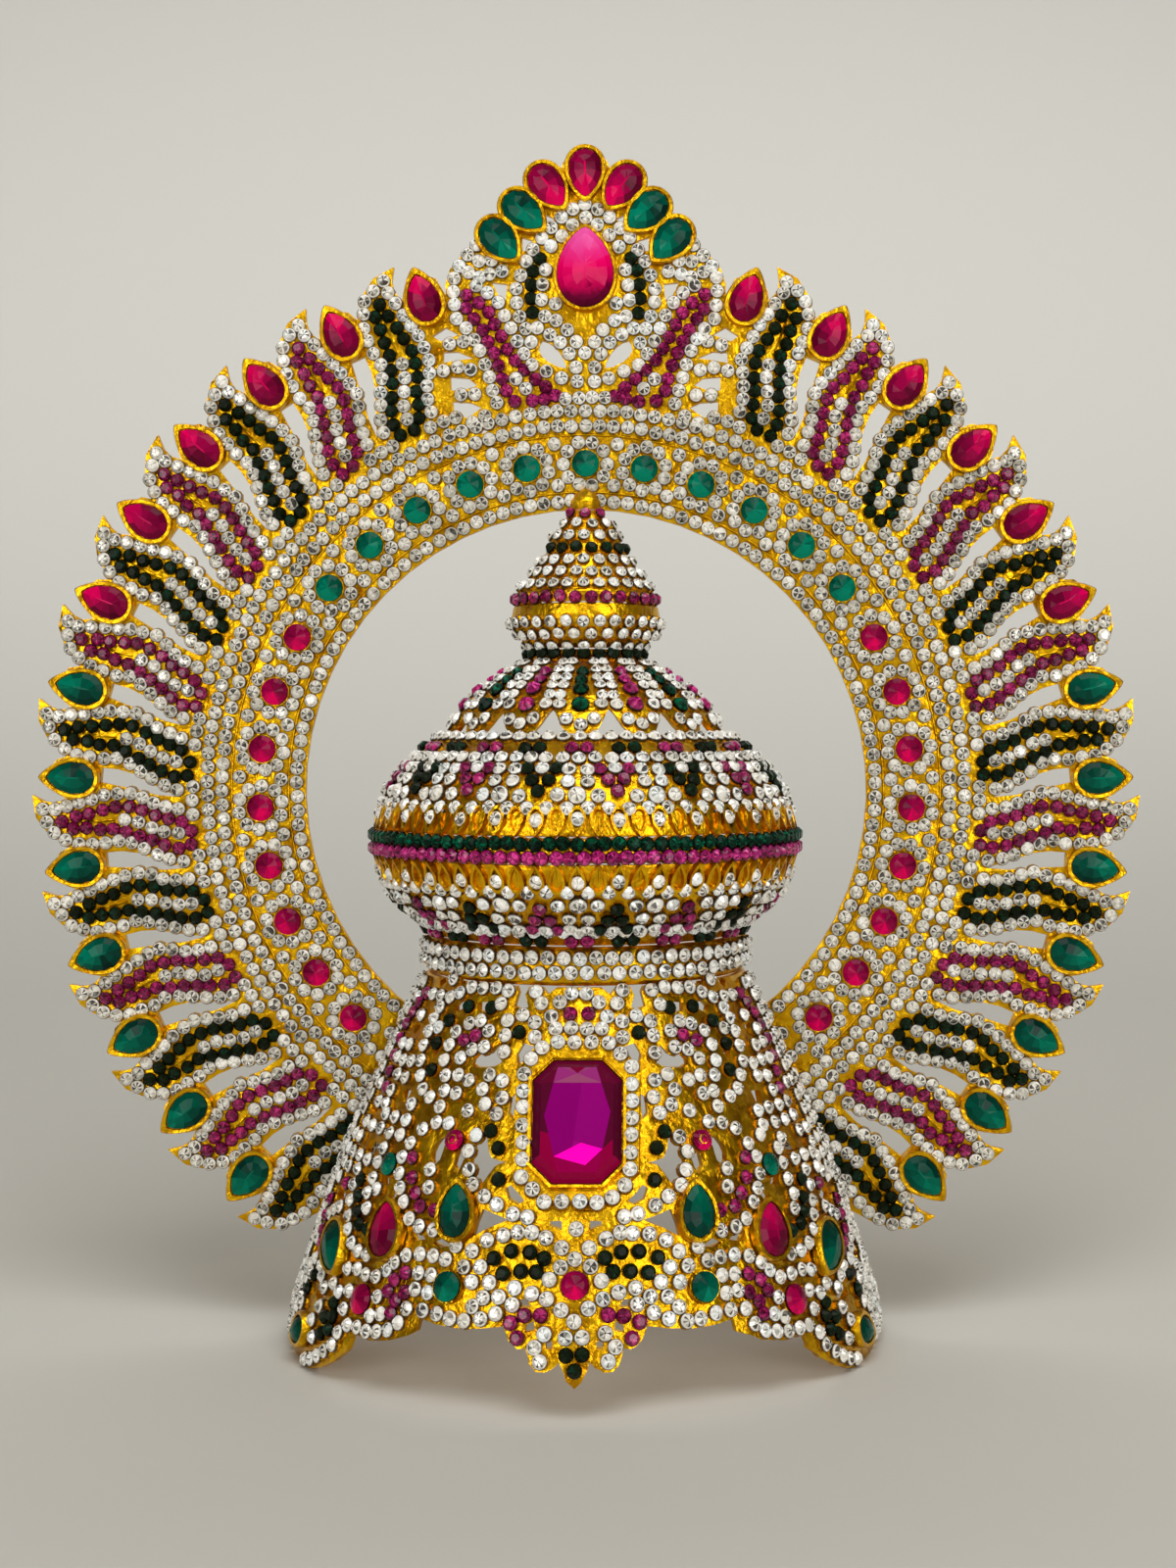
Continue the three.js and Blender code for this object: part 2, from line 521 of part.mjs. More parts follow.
const crown = new THREE.Group();
crown.add(
  makeHaloFrame(),
  makeBaseShell(),
  meshOf('neck_band', halfShell(neckProfile, shellSteps), 'gold'),
  meshOf('bulb_lower', halfShell(bulbLowerProfile, shellSteps), 'gold'),
  meshOf('bulb_band', halfShell(bulbBandProfile, shellSteps), 'gold'),
  meshOf('bulb_upper', halfShell(bulbUpperProfile, shellSteps), 'gold'),
  makePetalDome(),
  meshOf('finial_collar', halfShell(collarProfile, finialSteps), 'gold'),
  meshOf('finial_bulb', halfShell(finialBulbProfile, finialSteps), 'gold'),
  meshOf('finial_cone', halfShell(finialConeProfile, finialSteps), 'gold'),
  meshOf('finial_tip', halfSolid(finialTipProfile, finialSteps), 'gold'),
  ...makeHaloStones(),
  ...makeBaseStones(),
);

// the origin is under the middle of the whole crown, on the surface that it stands on
const extent = new THREE.Box3().setFromObject(crown);
crown.position.set(0, -(extent.min.y + extent.max.y) / 2, -extent.min.z);

export default crown;
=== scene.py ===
import math
import random
import bpy
from mathutils import Matrix, Vector
from mathutils.bvhtree import BVHTree


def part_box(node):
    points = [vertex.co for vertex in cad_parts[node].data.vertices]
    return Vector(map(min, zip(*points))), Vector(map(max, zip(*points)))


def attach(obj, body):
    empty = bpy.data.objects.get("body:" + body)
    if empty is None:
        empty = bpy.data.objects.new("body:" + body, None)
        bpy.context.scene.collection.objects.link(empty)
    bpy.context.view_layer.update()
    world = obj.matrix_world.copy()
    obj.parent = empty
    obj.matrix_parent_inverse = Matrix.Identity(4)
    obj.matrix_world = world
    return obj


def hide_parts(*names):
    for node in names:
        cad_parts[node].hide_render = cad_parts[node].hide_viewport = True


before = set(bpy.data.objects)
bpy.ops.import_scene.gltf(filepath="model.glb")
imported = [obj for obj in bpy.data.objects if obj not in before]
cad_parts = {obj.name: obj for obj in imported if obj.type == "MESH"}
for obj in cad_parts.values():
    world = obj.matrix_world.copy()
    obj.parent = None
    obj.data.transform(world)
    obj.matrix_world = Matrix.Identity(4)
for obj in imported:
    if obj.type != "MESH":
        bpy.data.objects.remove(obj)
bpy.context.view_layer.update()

random.seed(11)
mm = 0.001
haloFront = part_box("halo_frame")[1].y - 1.6 * mm
haloCentreZ = 121.2


# small tools

def clearSelection():
    if bpy.context.object and bpy.context.object.mode != "OBJECT":
        bpy.ops.object.mode_set(mode="OBJECT")
    bpy.ops.object.select_all(action="DESELECT")


def pick(piece):
    clearSelection()
    bpy.context.view_layer.objects.active = piece
    piece.select_set(True)


def editMode():
    bpy.ops.object.mode_set(mode="EDIT")
    bpy.ops.mesh.select_all(action="SELECT")


def objectMode():
    bpy.ops.object.mode_set(mode="OBJECT")


def addObject(name, data):
    piece = bpy.data.objects.new(name, data)
    bpy.context.scene.collection.objects.link(piece)
    return piece


def discard(*pieces):
    for piece in pieces:
        bpy.data.objects.remove(piece)


def extrude(*move):
    bpy.ops.mesh.extrude_region_move(TRANSFORM_OT_translate={"value": move})


def joinAll(parts, name):
    clearSelection()
    for part in parts:
        part.select_set(True)
    bpy.context.view_layer.objects.active = parts[0]
    bpy.ops.object.join()
    piece = bpy.context.object
    piece.name = name
    piece.data.name = name
    return piece


def turnOut(piece):
    pick(piece)
    editMode()
    bpy.ops.mesh.remove_doubles(threshold=0.00001)
    bpy.ops.mesh.normals_make_consistent(inside=False)
    objectMode()


def smoothBy(piece, degrees):
    pick(piece)
    bpy.ops.object.shade_smooth_by_angle(angle=math.radians(degrees))


def finishPiece(piece, material, slotName, *nodes):
    piece.data.materials.clear()
    piece.data.materials.append(material)
    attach(piece, "root")
    if nodes:
        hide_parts(*nodes)
    return piece


# where things sit
# a place is a matrix: X to the right, Y up the surface, Z out of it

def haloPlace(x, z, lift=0.0):
    place = Matrix.Translation((x * mm, haloFront - lift * mm, z * mm))
    return place @ Matrix.Rotation(math.pi / 2, 4, "X")


def ringPlace(ring, radius, lift=0.0):
    a = math.radians(ring)
    return haloPlace(radius * math.sin(a), haloCentreZ + radius * math.cos(a), lift)


def radiusAt(profile, z):
    if z <= profile[0][0]:
        return profile[0][1]
    for (z0, r0), (z1, r1) in zip(profile, profile[1:]):
        if z <= z1:
            return r0 + (r1 - r0) * (z - z0) / (z1 - z0)
    return profile[-1][1]


def shellPlace(profile, turn, z, lift=0.0, reach=1.2):
    lowZ, highZ = max(z - reach, profile[0][0]), min(z + reach, profile[-1][0])
    slope = math.atan2(radiusAt(profile, lowZ) - radiusAt(profile, highZ), highZ - lowZ)
    place = Matrix.Translation((0, haloFront, 0)) @ Matrix.Rotation(math.radians(turn), 4, "Z")
    place = place @ Matrix.Translation((0, -radiusAt(profile, z) * mm, z * mm))
    place = place @ Matrix.Rotation(math.pi / 2 - slope, 4, "X")
    return place @ Matrix.Translation((0, 0, lift * mm))


def spun(place, degrees, lift=0.0):
    return place @ Matrix.Translation((0, 0, lift * mm)) @ Matrix.Rotation(math.radians(degrees), 4, "Z")


# a value and its mirror image, or the value alone in the middle
def bothSides(value):
    return (value, -value) if value else (0,)


# shader groups

def newGroup(name, inputs, outputs):
    group = bpy.data.node_groups.new(name, "ShaderNodeTree")
    kind = "NodeSocketFloat"
    for label, value in inputs.items():
        group.interface.new_socket(name=label, in_out="INPUT", socket_type=kind).default_value = value
    for label in outputs:
        group.interface.new_socket(name=label, in_out="OUTPUT", socket_type=kind)
    return group, group.nodes.new("NodeGroupInput").outputs, group.nodes.new("NodeGroupOutput").inputs


def feed(tree, socket, value):
    if isinstance(value, (int, float, tuple)):
        socket.default_value = value
    else:
        tree.links.new(value, socket)


# adds a node and sets or links its inputs, so From_Min=0.5 sets "From Min"
def addNode(tree, kind, **inputs):
    node = tree.nodes.new("ShaderNode" + kind)
    for label, value in inputs.items():
        feed(tree, node.inputs[label.replace("_", " ")], value)
    return node


def addMath(tree, operation, a, b=None, clamp=False):
    node = addNode(tree, "Math")
    node.operation = operation
    node.use_clamp = clamp
    feed(tree, node.inputs[0], a)
    if b is not None:
        feed(tree, node.inputs[1], b)
    return node.outputs[0]


def addMix(tree, factor, a, b, blend="MIX"):
    node = addNode(tree, "Mix")
    node.data_type = "RGBA"
    node.blend_type = blend
    for place, value in ((0, factor), (6, a), (7, b)):
        feed(tree, node.inputs[place], value)
    return node.outputs[2]


def addRamp(tree, value, stops):
    node = addNode(tree, "ValToRGB", Fac=value)
    ramp = node.color_ramp
    while len(ramp.elements) < len(stops):
        ramp.elements.new(0.5)
    for element, (place, colour) in zip(ramp.elements, stops):
        element.position = place
        element.color = (*colour, 1)
    return node.outputs[0]


def addNoise(tree, dimensions, **inputs):
    node = addNode(tree, "TexWhiteNoise")
    node.noise_dimensions = dimensions
    for label, value in inputs.items():
        feed(tree, node.inputs[label], value)
    return node.outputs["Value"]


def readMap(tree):
    uv = addNode(tree, "UVMap")
    uv.uv_map = "stoneMap"
    return addNode(tree, "SeparateXYZ", Vector=uv.outputs[0]).outputs


def readAttribute(tree, name):
    attribute = addNode(tree, "Attribute")
    attribute.attribute_name = name
    return attribute.outputs["Fac"]


# rough cast surface: a height for bump and a mask of its low spots, where shade is painted into the gold
def buildCastGroup():
    group, given, out = newGroup("castSkin", {"Grain Size": 900.0, "Streak Size": 260.0},
                                 ("Height", "Painted Shade"))
    coords = addNode(group, "TexCoord").outputs["Object"]
    fine = addNode(group, "TexNoise", Vector=coords, Scale=given["Grain Size"], Detail=3.0)
    streak = addNode(group, "TexNoise", Vector=coords, Scale=given["Streak Size"], Detail=2.0,
                     Distortion=0.6)
    grain = addMath(group, "MULTIPLY", fine.outputs[0], 0.35)
    feed(group, out["Height"], addMath(group, "ADD", grain, streak.outputs[0]))
    # low streaks get the mask: painted shade in the hollows of the relief
    paintedShade = addNode(group, "MapRange", Value=streak.outputs[0], From_Min=0.62, From_Max=0.24)
    feed(group, out["Painted Shade"], paintedShade.outputs[0])
    return group


# cut-stone pattern from a stone's own map: painted reflections as light and dark spokes from a dot, a pale
# girdle lifted as painted reflection, and a dark rim that is partly the stone's dark edge and partly painted
# shade at its setting
def buildFacetGroup():
    group, given, out = newGroup("cutFacets", {"Facets": 14.0, "Girdle": 0.72, "Dot": 0.12},
                                 ("Light", "Girdle Mask", "Rim", "Chance", "Lively"))

    def calc(operation, a, b=None, clamp=False):
        return addMath(group, operation, a, b, clamp)
    across = readMap(group)
    seed = readAttribute(group, "stoneSeed")
    u, v = [calc("MULTIPLY", calc("SUBTRACT", across[i], 0.5), 2.0) for i in (0, 1)]
    radius = calc("SQRT", calc("ADD", calc("MULTIPLY", u, u), calc("MULTIPLY", v, v)))
    sector = calc("MULTIPLY", calc("DIVIDE", calc("ARCTAN2", v, u), math.tau), given["Facets"])
    inGirdle = calc("GREATER_THAN", radius, given["Girdle"])
    inDot = calc("LESS_THAN", radius, given["Dot"])
    spoke = calc("MULTIPLY", calc("FLOOR", calc("ADD", sector, calc("MULTIPLY", inGirdle, 0.5))),
                 calc("SUBTRACT", 1.0, inDot))
    ownNumber = calc("ROUND", calc("MULTIPLY", seed, 1000.0))
    zone = calc("ADD", inGirdle, calc("MULTIPLY", inDot, 2.0))
    cell = addNode(group, "CombineXYZ", X=spoke, Y=zone, Z=ownNumber)
    # some stones get brighter painted reflections, others more dark spokes
    lean = calc("MULTIPLY", calc("SUBTRACT", addNoise(group, "1D", W=ownNumber), 0.5), 0.4)
    feed(group, out["Light"], calc("ADD", addNoise(group, "3D", Vector=cell.outputs[0]), lean, True))
    feed(group, out["Girdle Mask"], inGirdle)
    # the dark rim: partly the stone's dark edge, partly painted shade where it sits in its cup
    rim = addNode(group, "MapRange", Value=radius, From_Min=0.85, From_Max=0.96)
    rim.interpolation_type = "SMOOTHSTEP"
    feed(group, out["Rim"], rim.outputs[0])
    feed(group, out["Chance"], calc("FRACT", seed))
    feed(group, out["Lively"], calc("FLOOR", seed))
    return group


castSkin = buildCastGroup()
cutFacets = buildFacetGroup()


# materials

def newMaterial(name, **values):
    material = bpy.data.materials.new(name)
    material.use_nodes = True
    shader = material.node_tree.nodes["Principled BSDF"]
    for label, value in values.items():
        shader.inputs[label.replace("_", " ")].default_value = value
    return material, material.node_tree, shader.inputs


def useGroup(tree, group):
    node = tree.nodes.new("ShaderNodeGroup")
    node.node_tree = group
    return node.outputs


def goldMaterial(name, bright, deep, roughness, bump):
    material, tree, shader = newMaterial(name, Metallic=1.0, Roughness=roughness)
    skin = useGroup(tree, castSkin)
    # the hollows of the relief take the deep colour as painted shade
    feed(tree, shader["Base Color"], addMix(tree, skin["Painted Shade"], (*bright, 1), (*deep, 1)))
    rough = addNode(tree, "MapRange", Value=skin["Height"], To_Min=roughness - 0.08, To_Max=roughness + 0.14)
    feed(tree, shader["Roughness"], rough.outputs[0])
    relief = addNode(tree, "Bump", Height=skin["Height"], Distance=bump * mm, Strength=0.8)
    feed(tree, shader["Normal"], relief.outputs[0])
    return material


# each small stone takes a tint by its own number; the darker end of it is also painted shade on the stones of
# the halo
stoneTints = [(0.0, (0.66, 0.64, 0.58)), (0.35, (0.92, 0.9, 0.84)), (0.8, (1, 0.99, 0.96)),
              (1.0, (0.93, 0.98, 1))]


def stoneMaterial(name, ramp, rim, livelyRamp=None, girdle=0.15, paintedGlow=0.0, **values):
    material, tree, shader = newMaterial(name, Coat_Roughness=0.05, **values)
    cut = useGroup(tree, cutFacets)
    # the girdle ring takes the painted reflection lifted towards white
    girdleReflection = addMath(tree, "ADD", addMath(tree, "MULTIPLY", cut["Light"], 0.9 - girdle), girdle)

    def cutColour(stops):
        inside, girdleColour = [addRamp(tree, light, stops) for light in (cut["Light"], girdleReflection)]
        return addMix(tree, cut["Girdle Mask"], inside, girdleColour)
    body = cutColour(ramp)
    if livelyRamp:
        body = addMix(tree, cut["Lively"], body, cutColour(livelyRamp))
    body = addMix(tree, 1.0, body, addRamp(tree, cut["Chance"], stoneTints), "MULTIPLY")
    # the dark rim colour: partly the stone's edge, partly painted shade
    colour = addMix(tree, cut["Rim"], body, (*rim, 1))
    feed(tree, shader["Base Color"], colour)
    # the colour also glows a little: painted glow, not a lamp
    if paintedGlow:
        feed(tree, shader["Emission Color"], colour)
        shader["Emission Strength"].default_value = paintedGlow
    return material


# larger stones: painted light, each facet with a brightness of its own and a little more towards one end of
# the stone's length, and the colour glows a little as well (painted glow)
def gemMaterial(name, ramp, lengthLightShare=0.12, facetLightShare=0.88, paintedGlow=0.15):
    material, tree, shader = newMaterial(name, Roughness=0.16, IOR=1.5, Coat_Weight=0.03, Coat_Roughness=0.03,
                                         Specular_IOR_Level=0.06, Emission_Strength=paintedGlow)
    value = addMath(tree, "ADD", addMath(tree, "MULTIPLY", readMap(tree)[1], lengthLightShare),
                    addMath(tree, "MULTIPLY", readAttribute(tree, "paintedFacetLight"), facetLightShare))
    colour = addRamp(tree, value, ramp)
    feed(tree, shader["Base Color"], colour)
    feed(tree, shader["Emission Color"], colour)
    return material


gold = goldMaterial("yellowGold", (0.88, 0.5, 0.009), (0.48, 0.19, 0.002), 0.26, 0.8)
# the cups use a darker copy of the gold: painted shade between the stones
shadedCupGold = goldMaterial("shadedCupGold", (0.62, 0.33, 0.006), (0.3, 0.12, 0.002), 0.32, 0.2)
materials = {
    "clear": stoneMaterial(
        "clearGlass",
        [(0.0, (0.06, 0.055, 0.05)), (0.14, (0.15, 0.145, 0.13)), (0.32, (0.5, 0.485, 0.44)),
         (0.58, (0.76, 0.745, 0.7)), (0.85, (0.96, 0.955, 0.93))],
        (0.045, 0.028, 0.01), girdle=0.42, paintedGlow=0.12,
        Metallic=0.1, Roughness=0.12, Coat_Weight=0.3, Specular_IOR_Level=0.5),
    "violet": stoneMaterial(
        "violetGlass",
        [(0.0, (0.045, 0.0, 0.013)), (0.25, (0.125, 0.003, 0.041)), (0.7, (0.23, 0.008, 0.075)),
         (0.95, (0.5, 0.026, 0.18))],
        (0.02, 0.001, 0.006),
        [(0.0, (0.06, 0.0, 0.022)), (0.3, (0.21, 0.005, 0.072)), (0.7, (0.35, 0.013, 0.13)),
         (0.95, (0.7, 0.05, 0.3))],
        paintedGlow=0.1, Roughness=0.18, Coat_Weight=0.12, Specular_IOR_Level=0.3),
    "dark": stoneMaterial(
        "darkGreenGlass",
        [(0.0, (0.004, 0.007, 0.003)), (0.6, (0.009, 0.015, 0.006)), (0.9, (0.01, 0.021, 0.009)),
         (1.0, (0.004, 0.042, 0.024))],
        (0.002, 0.003, 0.001),
        [(0.0, (0.002, 0.006, 0.004)), (0.5, (0.003, 0.024, 0.013)), (0.85, (0.002, 0.065, 0.03)),
         (1.0, (0.0, 0.15, 0.075))],
        Roughness=0.24, Coat_Weight=0.0, Specular_IOR_Level=0.07),
    "ruby": gemMaterial(
        "rubyGlass",
        [(0.08, (0.03, 0.0, 0.006)), (0.3, (0.1, 0.001, 0.018)), (0.5, (0.18, 0.001, 0.032)),
         (0.72, (0.3, 0.001, 0.048)), (0.95, (0.68, 0.0, 0.085))]),
    "green": gemMaterial(
        "greenGlass",
        [(0.08, (0.001, 0.008, 0.006)), (0.3, (0.001, 0.028, 0.018)), (0.52, (0.0, 0.06, 0.036)),
         (0.75, (0.0, 0.095, 0.056)), (0.97, (0.0, 0.18, 0.105))]),
    "pink": gemMaterial(
        "pinkGlass",
        [(0.14, (0.05, 0.001, 0.01)), (0.27, (0.13, 0.0, 0.025)), (0.34, (0.46, 0.0, 0.065)),
         (0.55, (0.68, 0.0, 0.1)), (0.74, (0.66, 0.02, 0.18)), (0.96, (0.66, 0.08, 0.32))],
        0.72, 0.32, 0.2),
    "magenta": gemMaterial(
        "magentaGlass",
        [(0.0, (0.035, 0.002, 0.006)), (0.2, (0.07, 0.002, 0.017)), (0.35, (0.22, 0.0, 0.032)),
         (0.5, (0.18, 0.0, 0.105)), (0.62, (0.25, 0.002, 0.15)), (0.75, (0.19, 0.05, 0.1)),
         (0.95, (0.95, 0.0, 0.42))],
        0.03, 0.97, 0.3),
}
slots = {"clear": "clear_glass", "violet": "violet_glass", "dark": "dark_green_glass", "ruby": "ruby_glass",
         "green": "green_glass", "pink": "pink_glass", "magenta": "magenta_glass"}


# small stones
# each stone is one 12-sided cut modelled once, then copied with its own mesh

# haloShadeSeeds: the lower range of tints, painted shade for the halo's stones
smallStone = {"sides": 12, "clear": 3.22, "violet": 3.1, "dark": 3.1, "tableShare": 0.52, "height": 0.3,
              "skirt": 0.16, "pitch": 3.14, "jitter": 0.16, "tilt": 0.06, "seat": 0.1,
              "haloShadeSeeds": (0.01, 0.38), "frontSeeds": (0.3, 0.99), "haloShadeBelow": 208.0, "haloDepth": 2.0}
cup = {"sides": 10, "mouth": 0.86, "margin": 0.16, "height": 0.6, "sink": 0.6}


def addCone(sides, foot, top, height):
    clearSelection()
    bpy.ops.mesh.primitive_cone_add(vertices=sides, radius1=foot, radius2=top, depth=height,
                                    location=(0, 0, height / 2))
    bpy.ops.object.transform_apply(location=True)
    return bpy.context.object


def modelSmallStone():
    stone = addCone(smallStone["sides"], 0.5, 0.5 * smallStone["tableShare"], smallStone["height"])
    editMode()
    bpy.ops.mesh.select_all(action="DESELECT")
    objectMode()
    for face in stone.data.polygons:
        face.select = face.normal.z < -0.9
    bpy.ops.object.mode_set(mode="EDIT")
    extrude(0, 0, -smallStone["skirt"])
    objectMode()
    return stone


def mapStone(stone, halfWidth=0.5, halfLength=0.5):
    layer = stone.data.uv_layers.get("stoneMap") or stone.data.uv_layers.new(name="stoneMap")
    for loop in stone.data.loops:
        point = stone.data.vertices[loop.vertex_index].co
        layer.data[loop.index].uv = (0.5 + point.x / halfWidth / 2, 0.5 + point.y / halfLength / 2)
    for other in [each for each in stone.data.uv_layers if each.name != "stoneMap"]:
        stone.data.uv_layers.remove(other)
    if "stoneSeed" not in stone.data.attributes:
        stone.data.attributes.new("stoneSeed", "FLOAT", "POINT")


masterStone = modelSmallStone()
mapStone(masterStone)
masterCup = addCone(cup["sides"], 1.0, cup["mouth"], 1.0)
stoneCopies = {"clear": [], "violet": [], "dark": []}
cupCopies = []
placed = []


def copyOf(master, matrix, seed=None):
    mesh = master.data.copy()
    mesh.transform(matrix)
    if seed is not None:
        mesh.attributes["stoneSeed"].data.foreach_set("value", [seed] * len(mesh.vertices))
    return addObject(master.name, mesh)


# a stone with a higher seed is brighter, and past 1 it is of the livelier kind; stones on the halo below the
# crest draw lower seeds, painted shade that makes them darker than the rest
def pickSeed(spot, lively):
    onHalo = (abs(spot.y - haloFront) < smallStone["haloDepth"] * mm
              and spot.z < smallStone["haloShadeBelow"] * mm)
    return random.uniform(*smallStone["haloShadeSeeds" if onHalo else "frontSeeds"]) + (1 if lively else 0)


def setStone(colour, place, size=None, lively=False):
    width = size or smallStone[colour]
    placed.append(place.translation.copy())
    shake, tip = smallStone["jitter"] * mm, smallStone["tilt"]
    place = place @ Matrix.Translation((random.uniform(-shake, shake), random.uniform(-shake, shake), 0))
    tiltX, tiltY = [Matrix.Rotation(random.uniform(-tip, tip), 4, axis) for axis in "XY"]
    spin = Matrix.Rotation(random.uniform(0, math.tau), 4, "Z")
    lift = Matrix.Translation((0, 0, (cup["height"] + smallStone["seat"]) * mm))
    turned = place @ lift @ tiltX @ tiltY @ spin @ Matrix.Scale(width * mm, 4)
    stoneCopies[colour].append(copyOf(masterStone, turned, pickSeed(place.translation, lively)))
    cupWidth = (width / 2 + cup["margin"]) * mm
    size = Matrix.Diagonal((cupWidth, cupWidth, (cup["height"] + cup["sink"]) * mm, 1))
    cupCopies.append(copyOf(masterCup, place @ Matrix.Translation((0, 0, -cup["sink"] * mm)) @ size))


def spread(points, pitch):
    lengths = [math.dist(a, b) for a, b in zip(points, points[1:])]
    total = sum(lengths)
    count = max(int(round(total / pitch)), 1)
    spots = []
    for i in range(count + 1):
        along = total * i / count
        k = 0
        while k < len(lengths) - 1 and along > lengths[k]:
            along -= lengths[k]
            k += 1
        share = along / lengths[k]
        spots.append(tuple(a + (b - a) * share for a, b in zip(points[k], points[k + 1])))
    return spots


# a surface test keeps stones off the gaps, and a distance test keeps them apart

def surfaceOf(nodeName):
    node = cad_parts[nodeName]
    corners = [node.matrix_world @ vertex.co for vertex in node.data.vertices]
    return BVHTree.FromPolygons(corners, [face.vertices for face in node.data.polygons])


feeler = {"height": 3.0, "length": 4.5, "reach": 1.2}


def onMetal(surface, place, reach):
    for x, y in ((0, 0), (reach, 0), (-reach, 0), (0, reach), (0, -reach)):
        start = place @ Vector((x * mm, y * mm, feeler["height"] * mm))
        way = (place.to_3x3() @ Vector((0, 0, -1))).normalized()
        if surface.ray_cast(start, way, feeler["length"] * mm)[0] is None:
            return False
    return True


def fillWith(surface, places, apart, keepOut=(), reach=feeler["reach"]):
    count = 0
    for place in places:
        spot = place.translation
        if any((spot - other).length < apart * mm for other in placed):
            continue
        if any((spot - other).length < gap * mm for other, gap in keepOut):
            continue
        if onMetal(surface, place, reach):
            setStone("clear", place)
            count += 1
    return count


# larger stones and their gold rims
# an outline is a round primitive bent to a drop or an octagon, then drawn up facet by facet

cuts = {
    "drop": {"shape": "drop", "corners": 12, "steps": [(0.6, 1, 1), (0.8, 0.66, 0.7), (0.5, 0.08, 0.5)],
             "rimCorners": 28, "rise": 2.0, "wall": 1.05},
    "top": {"shape": "drop", "corners": 20,
            "steps": [(1.4, 1, 1), (1.0, 0.8, 0.84), (0.9, 0.55, 0.62), (0.5, 0.06, 0.5)],
            "rimCorners": 36, "rise": 2.6, "wall": 0.9},
    "round": {"shape": "round", "corners": 16,
              "steps": [(0.1, 1, 1), (0.09, 0.7, 0.7), (0.12, 0.05, 0.05)],
              "rimCorners": 20, "rise": 0.18, "wall": 0.06},
    "octagon": {"shape": "octagon", "corners": 8,
                "steps": [(2.0, 1, 1), (1.1, 0.9, 0.92), (0.75, 0.9, 0.93)],
                "rimCorners": 8, "rise": 2.9, "wall": 0.8}}
dropCurve = {"power": 0.45, "fullness": 0.8735, "middle": 0.07}
# a level of a rim is a share of its rise and a share of its wall
rimShape = {"levels": ((0, 1), (0.75, 1), (1, 0.8), (0.97, 0.15), (0, 0.05)), "cornerShare": 0.55,
            "tip": 0.25, "flameTip": 1.0, "lift": 0.2, "smoothAngle": 50}
# the painted light of a facet: in the middle, more towards the tip, and the change from flank to flank; a
# painted highlight on flat facets and painted shade on steep ones
facet = {"middle": 0.42, "tip": 0.42, "flank": 0.17, "shake": 0.12, "table": 0.1, "least": 0.12, "pivot": 0.2,
         "hand": (0.6, 1.2), "steep": 0.3, "level": 0.85, "across": (0.906, 0.423, 0.3)}


def octagonPath(width, length, corner):
    w, l = width / 2, length / 2
    cutW, cutL = w - corner, l - corner
    return [(cutW, l), (-cutW, l), (-w, cutL), (-w, -cutL), (-cutW, -l), (cutW, -l), (w, -cutL), (w, cutL)]


def bendRing(piece, shape, width, length, corner=0.0, tip=0.0, level=0, corners=0):
    count = corners or len(piece.data.vertices)
    for i, vertex in enumerate(piece.data.vertices[level * count:(level + 1) * count]):
        a = math.tau * i / count
        if shape == "octagon":
            vertex.co.x, vertex.co.y = octagonPath(width, length, corner)[i]
            continue
        vertex.co.x, vertex.co.y = -width / 2 * math.sin(a), length / 2 * math.cos(a)
        if shape == "drop":
            vertex.co.x *= math.sin(a / 2) ** dropCurve["power"] / dropCurve["fullness"]
            vertex.co.y += tip * max(math.cos(a), 0) ** 3
    piece.data.update()


def startRing(name, corners, filled):
    clearSelection()
    bpy.ops.mesh.primitive_circle_add(vertices=corners, radius=1, fill_type="NGON" if filled else "NOTHING")
    piece = bpy.context.object
    piece.name = name
    return piece


def drawUp(steps, centre=(0, 0, 0)):
    for rise, scaleX, scaleY in steps:
        extrude(0, 0, rise)
        bpy.ops.transform.resize(value=(scaleX, scaleY, 1), center_override=centre)


def modelGem(kind, width, length, corner=0.0):
    cut = cuts[kind]
    piece = startRing(kind + "Gem", cut["corners"], True)
    bendRing(piece, cut["shape"], width, length, corner)
    editMode()
    drawUp(cut["steps"], (0, -length * dropCurve["middle"] if cut["shape"] == "drop" else 0, 0))
    bpy.ops.mesh.select_all(action="SELECT")
    bpy.ops.mesh.remove_doubles(threshold=0.01)
    bpy.ops.mesh.normals_make_consistent(inside=False)
    objectMode()
    mapStone(piece, width / 2, length / 2)
    return piece


# a rim rises, turns in with a narrow chamfer, runs flat to the stone and drops down beside it
def modelRim(kind, width, length, corner=0.0, tip=0.0):
    cut, levels = cuts[kind], rimShape["levels"]
    corners = cut["rimCorners"]
    piece = startRing(kind + "Rim", corners, False)
    editMode()
    for (before, _), (after, _) in zip(levels, levels[1:]):
        extrude(0, 0, cut["rise"] * (after - before))
    objectMode()
    for level, (_, share) in enumerate(levels):
        grow = cut["wall"] * share
        bendRing(piece, cut["shape"], width + 2 * grow, length + 2 * grow,
                 corner + grow * rimShape["cornerShare"], tip * share, level, corners)
    return piece


# a rule gives each facet its painted light; the facets are taken from one side of the stone to the other,
# because their own order changes from run to run
def paintFacetLight(piece, master, rule):
    attributes = piece.data.attributes
    tones = attributes.get("paintedFacetLight") or attributes.new("paintedFacetLight", "FLOAT", "FACE")
    across = Vector(facet["across"])
    for flat in sorted(master.data.polygons, key=lambda each: each.center.dot(across)):
        tones.data[flat.index].value = rule(flat)


gemCopies = {"ruby": [], "green": [], "pink": [], "magenta": []}
rimCopies = []


